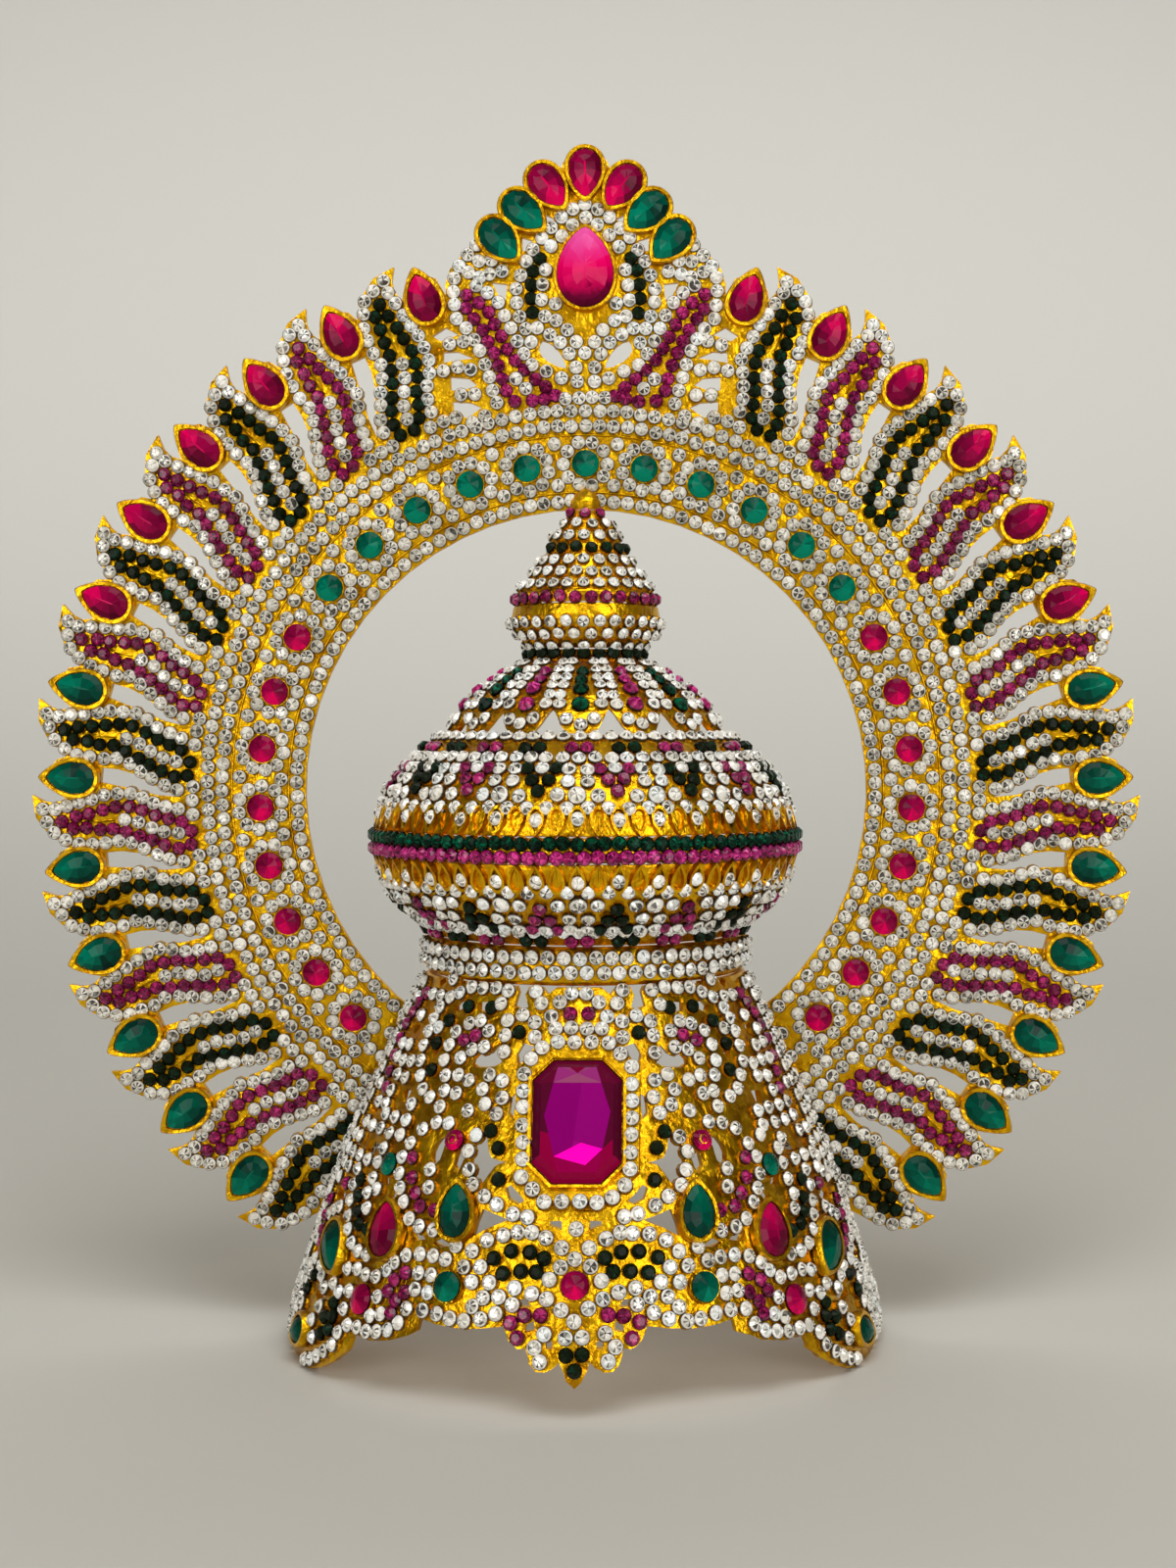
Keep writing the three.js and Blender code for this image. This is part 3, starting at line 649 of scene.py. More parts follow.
# painted light: facets fan out from a point near the round end, brightest towards the tip, one flank lighter
# than the other, steep facets dark as painted shade and flat ones with a painted highlight; strength scales
# it all
def setGem(colour, master, place, rim=None, rimPlace=None, strength=1.0):
    copy = copyOf(master, place @ Matrix.Scale(mm, 4), random.random())
    hand = random.choice((-1, 1)) * random.uniform(*facet["hand"])
    pivot = min(vertex.co.y for vertex in master.data.vertices) * facet["pivot"]

    def fan(flat):
        if abs(flat.normal.z) < facet["steep"]:
            return 0.0
        a = math.atan2(flat.center.x, flat.center.y - pivot)
        tone = facet["middle"] + facet["tip"] * max(math.cos(a), 0) ** 3
        tone += facet["flank"] * hand * math.sin(a) + random.uniform(-facet["shake"], facet["shake"])
        if flat.normal.z > facet["level"]:
            tone += facet["table"]
        return min(max(tone, facet["least"]), 1.0) * strength
    paintFacetLight(copy, master, fan)
    if rim:
        rimCopies.append(copyOf(rim, (rimPlace or place) @ Matrix.Scale(mm, 4)))
    gemCopies[colour].append(copy)
    return copy


# halo ring, flames and crest

ring = {
    "roundPitch": 10.33, "rounds": 13, "greenRounds": 5, "radius": 73.4, "aroundRadius": 4.9,
    "around": 10, "rows": (65.1, 81.9, 85.3), "valleyRadii": (68.7, 78.1), "end": 150.0,
    "innerEnd": 143.0, "ridges": (67.1, 79.9), "ridgeWidth": 0.32, "ridgeSides": 8, "ridgeSteps": 144}
flame = {
    "count": 13, "firstTip": 20.1, "pitch": 10.05, "baseRadius": 88.6, "baseAngles": (-1.0, 0.9, 2.9),
    "innerPitch": 3.05, "colourPitch": 2.95,
    "outer": [(1.5, 122.6), (3, 121.5), (4.3, 119.9), (5.05, 117.3), (5.6, 114.7), (5.75, 111.6),
        (5.85, 108.3), (5.6, 105.5), (6.2, 102.8), (7.05, 100.3), (8, 97.53), (8.9, 94.93), (9.4, 92.14)],
    "inner": [(1.6, 119.8), (1.15, 116.6), (0.65, 112.6), (0.15, 109), (-0.05, 105.8), (-0.2, 102.7),
        (0.4, 100.1), (1.2, 97.53), (1.8, 94.55), (2.1, 91.75)],
    "colourOuter": [(2.9, 118.3), (3.9, 115.8), (3.85, 113.2), (4.15, 110.3), (4.1, 106.9), (4.8, 103.6),
        (5.5, 100.6), (6.2, 98.01), (7, 95.41), (7.6, 92.62), (7.4, 89.73)],
    "colourInner": [(2.45, 115.1), (2.15, 112.2), (1.95, 109.4), (1.45, 106.5), (1.45, 103.7),
        (1.9, 100.7), (2.7, 97.82), (3.3, 94.83), (3.6, 91.95), (5.4, 89.54)],
    "middle": [(3.2, 104), (3.5, 101.2), (4.4, 98.3), (5.2, 95.41), (5.45, 92.43)],
    "ribs": [[(3.1, 116.5), (3.05, 113), (3.2, 110), (3.1, 106.6)], [(2.5, 114.6), (2.45, 111.5),
        (2.25, 108), (2.3, 105.8)]],
    "ribWidth": 0.3}


def flatOf(points, tip=0.0):
    spots = []
    for angle, radius in points:
        a = math.radians(tip + angle)
        spots.append((radius * math.sin(a), haloCentreZ + radius * math.cos(a)))
    return spots


def haloRow(colour, points, side=1, pitch=None):
    spots = points if len(points) == 1 else spread(points, pitch or smallStone["pitch"])
    for x, z in spots:
        setStone(colour, haloPlace(side * x, z))


def setHaloRing():
    for radius in ring["rows"]:
        end = ring["innerEnd"] if radius < ring["radius"] else ring["end"] - 1
        step = math.degrees(smallStone["pitch"] / radius)
        count = int(end / step)
        for i in range(-count, count + 1):
            setStone("clear", ringPlace(i * step, radius))
    for i in range(-ring["rounds"], ring["rounds"] + 1):
        place = ringPlace(i * ring["roundPitch"], ring["radius"])
        centre = place.translation
        for j in range(ring["around"]):
            a = math.tau * (j + 0.5) / ring["around"] - math.radians(i * ring["roundPitch"])
            setStone("clear", haloPlace(centre.x / mm + ring["aroundRadius"] * math.sin(a),
                                        centre.z / mm + ring["aroundRadius"] * math.cos(a)))
    for i in range(-ring["rounds"], ring["rounds"]):
        for radius in ring["valleyRadii"]:
            setStone("clear", ringPlace((i + 0.5) * ring["roundPitch"], radius))


# round gold wires raised between the rows of stones
def setWires():
    wires = []
    a = math.radians(-ring["innerEnd"])
    middle = (0, haloFront, haloCentreZ * mm)
    for radius in ring["ridges"]:
        clearSelection()
        start = (radius * mm * math.sin(a), haloFront, haloCentreZ * mm + radius * mm * math.cos(a))
        bpy.ops.mesh.primitive_circle_add(vertices=ring["ridgeSides"], radius=ring["ridgeWidth"] * mm,
                                          location=start, rotation=(0, math.pi / 2 + a, 0))
        bpy.ops.object.transform_apply(location=True, rotation=True)
        editMode()
        # by way of the crest, because the ring is open at its foot
        bpy.ops.mesh.spin(steps=ring["ridgeSteps"], angle=2 * a, center=middle, axis=(0, 1, 0))
        bpy.ops.mesh.select_all(action="SELECT")
        bpy.ops.mesh.fill_holes(sides=ring["ridgeSides"])
        objectMode()
        wires.append(bpy.context.object)
    return wires


# two thin gold lines along each flame
def setRibs():
    curve = bpy.data.curves.new("flameRibs", "CURVE")
    curve.dimensions = "3D"
    curve.bevel_depth = flame["ribWidth"] * mm
    curve.bevel_resolution = 1
    for side in (1, -1):
        for k in range(flame["count"]):
            for points in flame["ribs"]:
                flat = flatOf(points, flame["firstTip"] + k * flame["pitch"])
                line = curve.splines.new("POLY")
                line.points.add(len(flat) - 1)
                for point, (x, z) in zip(line.points, flat):
                    point.co = (side * x * mm, haloFront - 0.1 * mm, z * mm, 1)
    pick(addObject("flameRibs", curve))
    bpy.ops.object.convert(target="MESH")
    return bpy.context.object


def setFlames():
    for side in (1, -1):
        for k in range(flame["count"]):
            tip = flame["firstTip"] + k * flame["pitch"]
            colour = "dark" if k % 2 == 0 else "violet"
            haloRow("clear", flatOf(flame["outer"], tip), side)
            haloRow("clear", flatOf(flame["inner"], tip), side, flame["innerPitch"])
            for row in ("colourOuter", "colourInner"):
                haloRow(colour, flatOf(flame[row], tip), side, flame["colourPitch"])
            haloRow("clear", flatOf(flame["middle"], tip), side)
            for angle in flame["baseAngles"]:
                haloRow("clear", flatOf([(angle, flame["baseRadius"])], tip), side)


crest = {
    "clearPitch": 3.15, "colourPitch": 2.95,
    "clear": [[(2.8, 251.2), (5.3, 249.4), (7.6, 247.3), (9.6, 245.2), (11.7, 242.5), (13.3, 239.8),
        (14.4, 237.2), (15.6, 234.3), (15.7, 231.1), (14.8, 227.4), (13.4, 224.6), (12.3, 221.6)],
        [(2.8, 247.9), (5.2, 245.4), (7.6, 243)], [(8.9, 237.8), (9.6, 234.5), (9.8, 231.2), (9.0, 227.6)],
        [(6.8, 230.2)], [(10.8, 224.7)], [(6.4, 226.5), (4.0, 224.3), (1.9, 221.9)], [(8, 223.5),
        (5.4, 221.5), (3.5, 219.1), (2.2, 216.2)], [(11.9, 216.7), (9, 215.4), (5.8, 213.9), (1.9, 212.9)],
        [(24.5, 234.3), (21.7, 232.6), (19.2, 230), (17.8, 227.3), (16.6, 225), (15.6, 222.2),
        (13.8, 219.2)], [(15.6, 213.5)], [(13.2, 211.4)], [(24.3, 243.3), (27.4, 239.9), (29.4, 236.8),
        (29.7, 233.7), (29.4, 230.3), (28.8, 227), (26.8, 224.9), (24.3, 221.3), (22.9, 218.1),
        (21.7, 214.1), (20.8, 210.9), (19.9, 208.1)], [(20.9, 239.8)], [(23.9, 239.6)], [(26.3, 237.2)],
        [(21.5, 236.8)], [(18.5, 237.5)], [(23.6, 236.3)], [(27.4, 221.8), (30.5, 221.2)], [(25.6, 215.5),
        (28.9, 216), (31.9, 215.4)], [(24.8, 210), (28, 210)], [(22.4, 205.2), (25.3, 203.7)], [(1.5, 209.4),
        (4.4, 209.2)]],
    "middleClear": [(0, 252.4), (0, 249.4), (0, 219.3)],
    "dark": [[(10.1, 240.3), (11.6, 237.6), (12.2, 235), (12.3, 231.7), (11.9, 228.3)]],
    "violet": [[(26.6, 232.2), (26.6, 228.9), (24.2, 226.3), (22.6, 223.6), (21.2, 220.6),
        (19.9, 217.4), (18.8, 214.2), (18, 211), (15.8, 208.6)], [(24, 230.3), (21.5, 228.1), (20.1, 225.1),
        (18.4, 222.1), (16.9, 219), (14.6, 216.4), (12.2, 214.3), (9.6, 212.3), (6.6, 209.7)], [(9.1, 209),
        (11.9, 208.5)]]}


def setCrest():
    for colour in ("clear", "dark", "violet"):
        for points in crest[colour]:
            for side in (1, -1):
                haloRow(colour, points, side, crest["clearPitch" if colour == "clear" else "colourPitch"])
    for x, z in crest["middleClear"]:
        setStone("clear", haloPlace(x, z))


# base, bulb, dome and finial

# each profile is a list of heights and radii
profiles = {
    "base": [(0, 65.6), (8.9, 64.3), (31.3, 56.8), (44.3, 52.3), (53.9, 47.8), (81.2, 35.6)],
    "neck": [(81.5, 35.2), (82.6, 35.9), (88.8, 35.9), (89.6, 34.9)],
    "bulbLower": [(89.9, 34.9), (93, 36.6), (97.4, 42.2), (100.6, 44.3), (104.1, 45.6), (107.5, 46.5)],
    "bulbBand": [(107.8, 47.1), (112.9, 47.1)],
    "bulbUpper": [(113.2, 46.5), (117.4, 45.5), (122.7, 43.4), (127.4, 39.6), (132.2, 34.6),
        (133.8, 31.2)],
    "dome": [(134.1, 30.9), (138.2, 28.7), (143.4, 23.9), (147.6, 17.9), (150.4, 12)],
    "collar": [(150.7, 13.7), (152.2, 12.6)],
    "finialBulb": [(152.9, 12.6), (155.8, 15.3), (159.3, 16.9), (162.6, 16.3)],
    "finialCone": [(162.9, 15.6), (165.2, 15.6), (168.4, 12.9), (173, 9.9), (179.2, 6.4), (183.9, 3.7)]}


def basePlace(turn, z, lift=0.0):
    return shellPlace(profiles["base"], turn, z, lift, 3)


def shellRow(piece, z, colour, pitch=3.2, phase=0.0, end=86.0, size=None, lively=False):
    step = math.degrees(pitch / radiusAt(profiles[piece], z))
    count = int(end / step)
    for i in range(-count, count + 1):
        turn = (i + phase) * step
        if abs(turn) < end + 1:
            setStone(colour, shellPlace(profiles[piece], turn, z), size, lively)


baseChart = {
    "clear": [(2.3, 79.8), (6.2, 78.2), (8.7, 75.5), (2.4, 73.1), (7, 72.9), (14.4, 80.3), (12.2, 77.8),
        (13.2, 74.3), (12.8, 71.2), (24.1, 80.2), (29.1, 80.6), (33.8, 80.2), (38.8, 80.1), (43.5, 78.9),
        (47.5, 77.8), (51, 75.2), (52.2, 73), (52.5, 70.2), (52.2, 67.3), (51.3, 64.3), (48.8, 61.7),
        (45.8, 59.3), (42.2, 58), (37.6, 56.6), (49.2, 81.4), (26, 77.4), (31.8, 73.9), (35.8, 73),
        (39.8, 71.3), (41, 68.5), (41.1, 65.4), (39.1, 62.6), (34.5, 62.8), (30.6, 62.3), (28, 71.9),
        (28.5, 68.8), (32.4, 68), (35.3, 66.2), (37.6, 59.7), (33.8, 59.3), (17.8, 75.5), (22.2, 74.2),
        (22.4, 71.4), (21.7, 68.1), (20.5, 62.7), (24.4, 63.7), (25.8, 60.8), (19.7, 59.5), (24.3, 57.9),
        (20.5, 56.4), (28.8, 56.4), (24.8, 51.9), (26, 48.9), (24.7, 45.6), (23.3, 43), (20, 41),
        (16.9, 39.6), (13.1, 38.2), (10.1, 37.8), (33.5, 53.8), (37.2, 53.4), (41, 51.8), (43.6, 48.8),
        (44.9, 46), (44.3, 42.8), (42.7, 40.1), (40.6, 37.8), (37.8, 34.9), (34.7, 33.9), (31, 33.7),
        (35.2, 44.8), (34.4, 41.4), (25, 31.3), (21, 30.7), (18.3, 33), (14.9, 34.2), (11.7, 34.8),
        (9, 34.8), (6.1, 33.9), (2.9, 32.2), (2.9, 28.8), (4.9, 26.3), (5.2, 22.8), (2.6, 21.1), (8.3, 23.9),
        (11.6, 24.5), (11.6, 21.7), (14.4, 22.9), (17.7, 22.6), (16.6, 25.3), (20.3, 25.1), (18.8, 27.9),
        (22.4, 27.8), (14.7, 19.9), (19.7, 20.6), (17.5, 18.6), (21, 17.9), (23.8, 18.1), (26.8, 18.6),
        (30, 18.8), (26.8, 28.5), (29.8, 28.8), (33, 28.8), (36.4, 28.1), (39, 26.4), (29.4, 25.4),
        (32.4, 25.3), (29.6, 22), (32.4, 22.2), (33.5, 18.4), (40.8, 24.5), (43.3, 22.8), (46.5, 22.7),
        (49.7, 23.1), (52.8, 22.3), (41.5, 19.3), (39.7, 16.4), (42.2, 15.4), (50.4, 18.7), (50.6, 15.1),
        (34.8, 15.6), (37, 13.9), (39.6, 13.1), (42.3, 12.7), (45.2, 12.7), (48, 12.6), (50.4, 10.6),
        (51.6, 7.8), (54.2, 5.8), (56.8, 4.1), (59.4, 2.8), (62.2, 1.9), (47.7, 26.3), (51, 26.3),
        (54.4, 27.4), (57.5, 29.5), (59.1, 31.9), (60.6, 34.8), (61.6, 37.8), (61.9, 40.8), (54, 37.4),
        (52.5, 34.6), (1.5, 16.1), (5.6, 16.7), (7.2, 14.1), (6.1, 11.7), (53.8, 17.6), (56.8, 18.6),
        (60.3, 17), (60, 13.1), (61.6, 10.2), (59.7, 7)],
    "middleClear": [(0, 35.6), (0, 30.3), (0, 19)],
    "dark": [(29.2, 76.6), (38.3, 76.3), (44.6, 73.1), (47.2, 68.3), (45.2, 63.2), (18, 72),
        (21.3, 53.1), (18.6, 50.1), (17.3, 44.3), (6, 30.3), (9.1, 31.2), (12.8, 31.4), (16.4, 29.9),
        (7.5, 27.7), (10.8, 27.7), (14.2, 27.3), (50.3, 30.7), (53.8, 31.3), (56.1, 33.3), (57.5, 36),
        (58.8, 39.3), (54.7, 15.3), (53.8, 12.9), (56.9, 12), (54, 10.1), (56.7, 8.7), (1.5, 12.9),
        (68.1, 17.6), (70, 14.2)],
    "middleDark": [(0, 10.1)],
    "violet": [(2.7, 76), (32, 71), (36, 69.8), (41.5, 46.2), (40, 42.7), (37.8, 39.8), (35.5, 37.6),
        (31.7, 37.4), (35.6, 24.9), (38.3, 23.1), (34.9, 21.3), (39.4, 20.9), (36.8, 19.4), (37.2, 17),
        (6.3, 19.9), (9.2, 19.7), (11.9, 18.4), (10.5, 15.6), (66.6, 37), (75.3, 32), (74.7, 28.7),
        (73.6, 25.6), (70.5, 23.9), (67.4, 22.6), (63.5, 77.3), (66.6, 75.4), (68.8, 73), (70.4, 70.2),
        (70.8, 67.2), (69.6, 63.6), (67.4, 60.4), (65, 57.4)]}


def setBase():
    for colour in ("clear", "dark", "violet"):
        for turn, z in baseChart[colour]:
            for side in (1, -1):
                setStone(colour, basePlace(side * turn, z))
    for colour, name in (("clear", "middleClear"), ("dark", "middleDark")):
        for turn, z in baseChart[name]:
            setStone(colour, basePlace(turn, z))


octagon = {"z": 55.3, "width": 18.0, "length": 25.0, "corner": 4.2, "sink": -0.6, "rowWidth": 21.8,
           "rowLength": 32.6, "rowCorner": 4.6, "rowLift": 1.1, "stones": 28, "rimGap": 0.6, "flat": 0.99,
           "bevelLean": 0.2}


def setOctagonRow():
    path = octagonPath(octagon["rowWidth"], octagon["rowLength"], octagon["rowCorner"])
    place = basePlace(0, octagon["z"], octagon["rowLift"])
    total = sum(math.dist(a, b) for a, b in zip(path, path[1:] + path[:1]))
    for x, y in spread(path + path[:1], total / octagon["stones"])[:-1]:
        setStone("clear", place @ Matrix.Translation((x * mm, y * mm, 0)))


# a group is a triangle of coloured stones between two valleys of clear ones, placed by turn and rise
bulb = {"rows": [("neck", 87.4, "clear", 3.3, 0, False), ("neck", 84.3, "clear", 3.3, 0.5, False),
                 ("bulbBand", 111.8, "dark", 2.85, 0, True), ("bulbBand", 109, "violet", 2.85, 0.5, True),
                 ("bulbUpper", 132.9, "clear", 3.2, 0, False), ("bulbUpper", 128.7, "clear", 3.3, 0, False),
                 ("bulbLower", 93.4, "clear", 3.2, 0, False)],
        "pairs": (("bulbUpper", 130.8), ("bulbLower", 91.2)), "pairPitch": 15.6, "pairGap": 2.5,
        "pairEnd": 88, "groupEnd": 86, "besideEnd": 87,
        "halves": (("bulbUpper", 113.2, 1, 0), ("bulbLower", 107.5, -1, 1)), "group": 21.0,
        "triangle": ((-4.2, 13.4), (-2.3, 11.2), (0, 9)), "middle": (13.5, 3.2), "large": (8.2, 4.0),
        "valley": 3.4, "beside": ((-5.3, 8.1), (-2.6, 10.9), (-2.6, 13.2), (-2.7, 5.5), (-7.9, 5.5))}


def setBulb():
    for piece, z, colour, pitch, phase, lively in bulb["rows"]:
        shellRow(piece, z, colour, pitch, phase, lively=lively)
    for piece, z in bulb["pairs"]:
        for i in range(-5, 6):
            for offset in (-bulb["pairGap"], bulb["pairGap"]):
                turn = i * bulb["pairPitch"] + offset
                if abs(turn) < bulb["pairEnd"]:
                    setStone("dark" if i % 2 else "violet", shellPlace(profiles[piece], turn, z))
    # the lower half is the upper one turned over
    for piece, edge, way, shift in bulb["halves"]:
        def setAt(colour, turn, rise, limit=90, size=None):
            if abs(turn) < limit:
                setStone(colour, shellPlace(profiles[piece], turn, edge + way * rise), size)
        for i in range(-4, 5):
            valley = i * bulb["group"]
            centre = valley + bulb["group"] / 2
            if abs(centre) < bulb["groupEnd"]:
                for reach, rise in bulb["triangle"]:
                    for turn in bothSides(reach):
                        setAt("dark" if (i + shift) % 2 else "violet", centre + turn, rise)
                for rise in bulb["middle"]:
                    setAt("clear", centre, rise)
            if abs(valley) < bulb["groupEnd"]:
                setAt("clear", valley, bulb["large"][0], size=bulb["large"][1])
                setAt("clear", valley, bulb["valley"])
            for reach, rise in bulb["beside"]:
                for turn in bothSides(reach):
                    setAt("clear", valley + turn, rise, bulb["besideEnd"])


dome = {
    "petals": 7, "pitch": 25.0, "middle": [(140.0, 3.9), (143.2, 3.6), (145.3, 3.0), (147.0, 2.9)],
    "rim": [(0, 135.8), (5.6, 137.0), (9.2, 140.0), (10.0, 142.0), (9.4, 144.0), (9.3, 145.7),
        (9.4, 147.4), (9.2, 149.0)],
    "rimSize": 3.1, "upperSize": 2.75, "upperZ": 141, "end": 88}


def setDome():
    for i in range(dome["petals"]):
        middle = i - dome["petals"] // 2
        centre = middle * dome["pitch"]
        for z, size in dome["middle"]:
            setStone("violet" if middle % 2 else "dark", shellPlace(profiles["dome"], centre, z), size, True)
        for reach, z in dome["rim"]:
            size = dome["rimSize"] if z < dome["upperZ"] else dome["upperSize"]
            for turn in bothSides(reach):
                if abs(centre + turn) < dome["end"]:
                    setStone("clear", shellPlace(profiles["dome"], centre + turn, z), size)


# a row: the casting, its height, the colour, the pitch, the phase and the stones' size
finial = [("collar", 151.4, "dark", 3.3, 0, None), ("finialBulb", 153.8, "clear", 3.5, 0, 2.8),
          ("finialBulb", 156.2, "clear", 3.5, 0.5, 2.8), ("finialBulb", 158.7, "clear", 3.5, 0, 2.8),
          ("finialCone", 163.9, "violet", 3.3, 0.5, 2.9), ("finialCone", 166.6, "clear", 3.3, 0, 2.85),
          ("finialCone", 169.4, "clear", 3.3, 0.5, 2.85), ("finialCone", 172.2, "clear", 3.3, 0, 2.85),
          ("finialCone", 175, "dark", 3.3, 0.5, 2.85), ("finialCone", 177.9, "clear", 3.3, 0, 2.85),
          ("finialCone", 180.6, "clear", 3.3, 0.5, 2.6), ("finialCone", 183, "violet", 3.3, 0, 2.6)]


def setFinial():
    for piece, z, colour, pitch, phase, size in finial:
        shellRow(piece, z, colour, pitch, phase, size=size)


# the flanks of the base and the foot of the ring are packed with clear stones

flank = {
    "turns": (48.0, 88.2), "heights": (3.2, 79.6), "pitch": 3.1, "apart": 2.85, "columns": 2.5,
    "shake": 0.15, "rings": (126.0, 153.0), "radii": (65.1, 91.0), "rowShare": 0.87, "edge": 1.2,
    "reach": 1.3, "dropRoom": 1.6, "sideRoom": 2.2, "sideShift": 0.25, "mostRoom": 6.5, "roundRoom": 1.7}


# spots to leave free round the drops and the rounds of the base, each with its radius
def guardDrops():
    guards = []
    for side in (1, -1):
        for turn, z, width, length, spin, _ in drops["base"]:
            place = shellPlace(profiles["base"], side * turn, z)
            guards.append((place.translation, length / 2 + flank["dropRoom"]))
            for shift in bothSides(length * flank["sideShift"] * mm):
                spot = spun(place, side * spin) @ Vector((0, shift, 0))
                guards.append((spot, width / 2 + flank["sideRoom"]))
    guards = [each for each in guards if each[1] < flank["mostRoom"]]
    for reach, z, width, _ in rounds["base"]:
        for turn in bothSides(reach):
            spot = shellPlace(profiles["base"], turn, z).translation
            guards.append((spot, width / 2 + flank["roundRoom"]))
    return guards


def fillFlanks():
    places = []
    turn, column = flank["turns"][1], 0
    while turn > flank["turns"][0]:
        z = flank["heights"][0] + (flank["pitch"] / 2 if column % 2 else 0)
        while z < flank["heights"][1]:
            for side in (1, -1):
                shake = flank["shake"] * random.uniform(-1, 1)
                places.append(basePlace(side * (turn + shake), z + shake))
            z += flank["pitch"]
        turn -= flank["columns"]
        column += 1
    return fillWith(surfaceOf("base_shell"), places, flank["apart"], guardDrops(), flank["reach"])


def fillRingFoot():
    places = []
    radius, row = flank["radii"][0], 0
    while radius < flank["radii"][1]:
        step = math.degrees(flank["pitch"] / radius)
        at = flank["rings"][0] + (step / 2 if row % 2 else 0)
        while at < flank["rings"][1]:
            for side in (1, -1):
                place = ringPlace(side * at, radius)
                x, z = place.translation.x / mm, place.translation.z / mm
                if abs(x) > radiusAt(profiles["base"], z) + flank["edge"]:
                    places.append(place)
            at += step
        radius += flank["pitch"] * flank["rowShare"]
        row += 1
    return fillWith(surfaceOf("halo_frame"), places, flank["apart"])


# small cast leaves beside the band of the bulb

leaf = {"sides": 14, "width": 3.9, "length": 6.6, "point": 0.7, "fullness": 0.82, "rise": 1.15,
        "shoulder": (0.93, 0.95), "border": 0.6, "dip": 0.9, "floor": (0.8, 0.85), "pitch": 5.25, "end": 88,
        "rows": (("bulbUpper", 116.2, 180), ("bulbLower", 104.7, 0))}


def setLeaves():
    leaves = []
    master = startRing("leaf", leaf["sides"], True)
    for i, vertex in enumerate(master.data.vertices):
        a = math.tau * i / leaf["sides"]
        vertex.co.x = -leaf["width"] / 2 * math.sin(a) * math.sin(a / 2) ** leaf["point"] / leaf["fullness"]
        vertex.co.y = leaf["length"] / 2 * math.cos(a)
    editMode()
    drawUp([(leaf["rise"], *leaf["shoulder"])])
    bpy.ops.mesh.inset(thickness=leaf["border"], depth=0)
    drawUp([(-leaf["dip"], *leaf["floor"])])
    objectMode()
    for piece, z, way in leaf["rows"]:
        count = int(leaf["end"] / leaf["pitch"])
        for i in range(-count, count + 1):
            place = spun(shellPlace(profiles[piece], i * leaf["pitch"], z, -0.1), way)
            leaves.append(copyOf(master, place @ Matrix.Scale(mm, 4)))
    discard(master)
    return leaves


# drops of the flames, the crest and the base, the large drop at the top, and the rounds

drops = {
    "flameRadius": 115.8, "flameLead": -1.9, "flame": (7.3, 10.6), "flameRubies": 6,
    "crest": (7.4, 10.6), "top": (12.6, 17.6), "topZ": 238.0, "lift": 1.3, "flameStrength": 0.9,
    "baseStrength": 0.77,
    "base": [(25.8, 37.7, 7.0, 10.6, -5, "green"), (43.3, 31.9, 8.0, 11.0, -10, "ruby"),
        (60.7, 25.0, 8.4, 11.4, 135, "green"), (66.2, 6.6, 5.6, 8.4, -115, "green")],
    "crestPlaces": [(0, 259.1, 0, "ruby"), (8.3, 256.1, 38, "ruby"), (13.8, 250.5, 50, "green"),
        (19.1, 244.2, 42, "green")]}
rounds = {
    "halo": 6.0, "lift": 0.9, "greenStrength": 1.3,
    "base": [(0, 25.4, 5.6, "ruby"), (25.2, 23.7, 6.0, "green"), (45.5, 18.0, 6.2, "ruby"),
        (48.1, 44.0, 4.8, "green"), (30.2, 50.6, 4.4, "ruby")]}


def setDrops():
    masters = {}

    def setDrop(colour, place, size, tip=rimShape["tip"], strength=1.0):
        if size not in masters:
            masters[size] = modelGem("drop", *size), modelRim("drop", *size, tip=tip)
        stone, rim = masters[size]
        setGem(colour, stone, spun(place, 0, drops["lift"]), rim, spun(place, 0, rimShape["lift"]), strength)

    for side in (1, -1):
        for k in range(flame["count"]):
            colour = "ruby" if k < drops["flameRubies"] else "green"
            at = side * (flame["firstTip"] + k * flame["pitch"] + drops["flameLead"])
            setDrop(colour, spun(ringPlace(at, drops["flameRadius"]), -at), drops["flame"],
                    rimShape["flameTip"], drops["flameStrength"])
    for reach, z, lean, colour in drops["crestPlaces"]:
        for x in bothSides(reach):
            setDrop(colour, spun(haloPlace(x, z), 180 - math.copysign(lean, x)), drops["crest"])
    for side in (1, -1):
        for turn, z, width, length, spin, colour in drops["base"]:
            place = spun(basePlace(side * turn, z), side * spin)
            setDrop(colour, place, (width, length), strength=drops["baseStrength"])
    for pair in masters.values():
        discard(*pair)
    stone, rim = modelGem("top", *drops["top"]), modelRim("top", *drops["top"])
    place = haloPlace(0, drops["topZ"])
    setGem("pink", stone, spun(place, 0, drops["lift"]), rim, place)
    discard(stone, rim)


def setRounds():
    stone, rim = modelGem("round", 1, 1), modelRim("round", 1, 1)

    def setRound(colour, place, width, strength=1.0):
        size = Matrix.Scale(width, 4)
        setGem(colour, stone, spun(place, 180, rounds["lift"]) @ size, rim, place @ size, strength)

    for i in range(-ring["rounds"], ring["rounds"] + 1):
        place = ringPlace(i * ring["roundPitch"], ring["radius"])
        placed.append(place.translation.copy())
        if abs(i) <= ring["greenRounds"]:
            setRound("green", place, rounds["halo"], rounds["greenStrength"])
        else:
            setRound("ruby", place, rounds["halo"])
    for reach, z, width, colour in rounds["base"]:
        for turn in bothSides(reach):
            setRound(colour, basePlace(turn, z), width)
    discard(stone, rim)


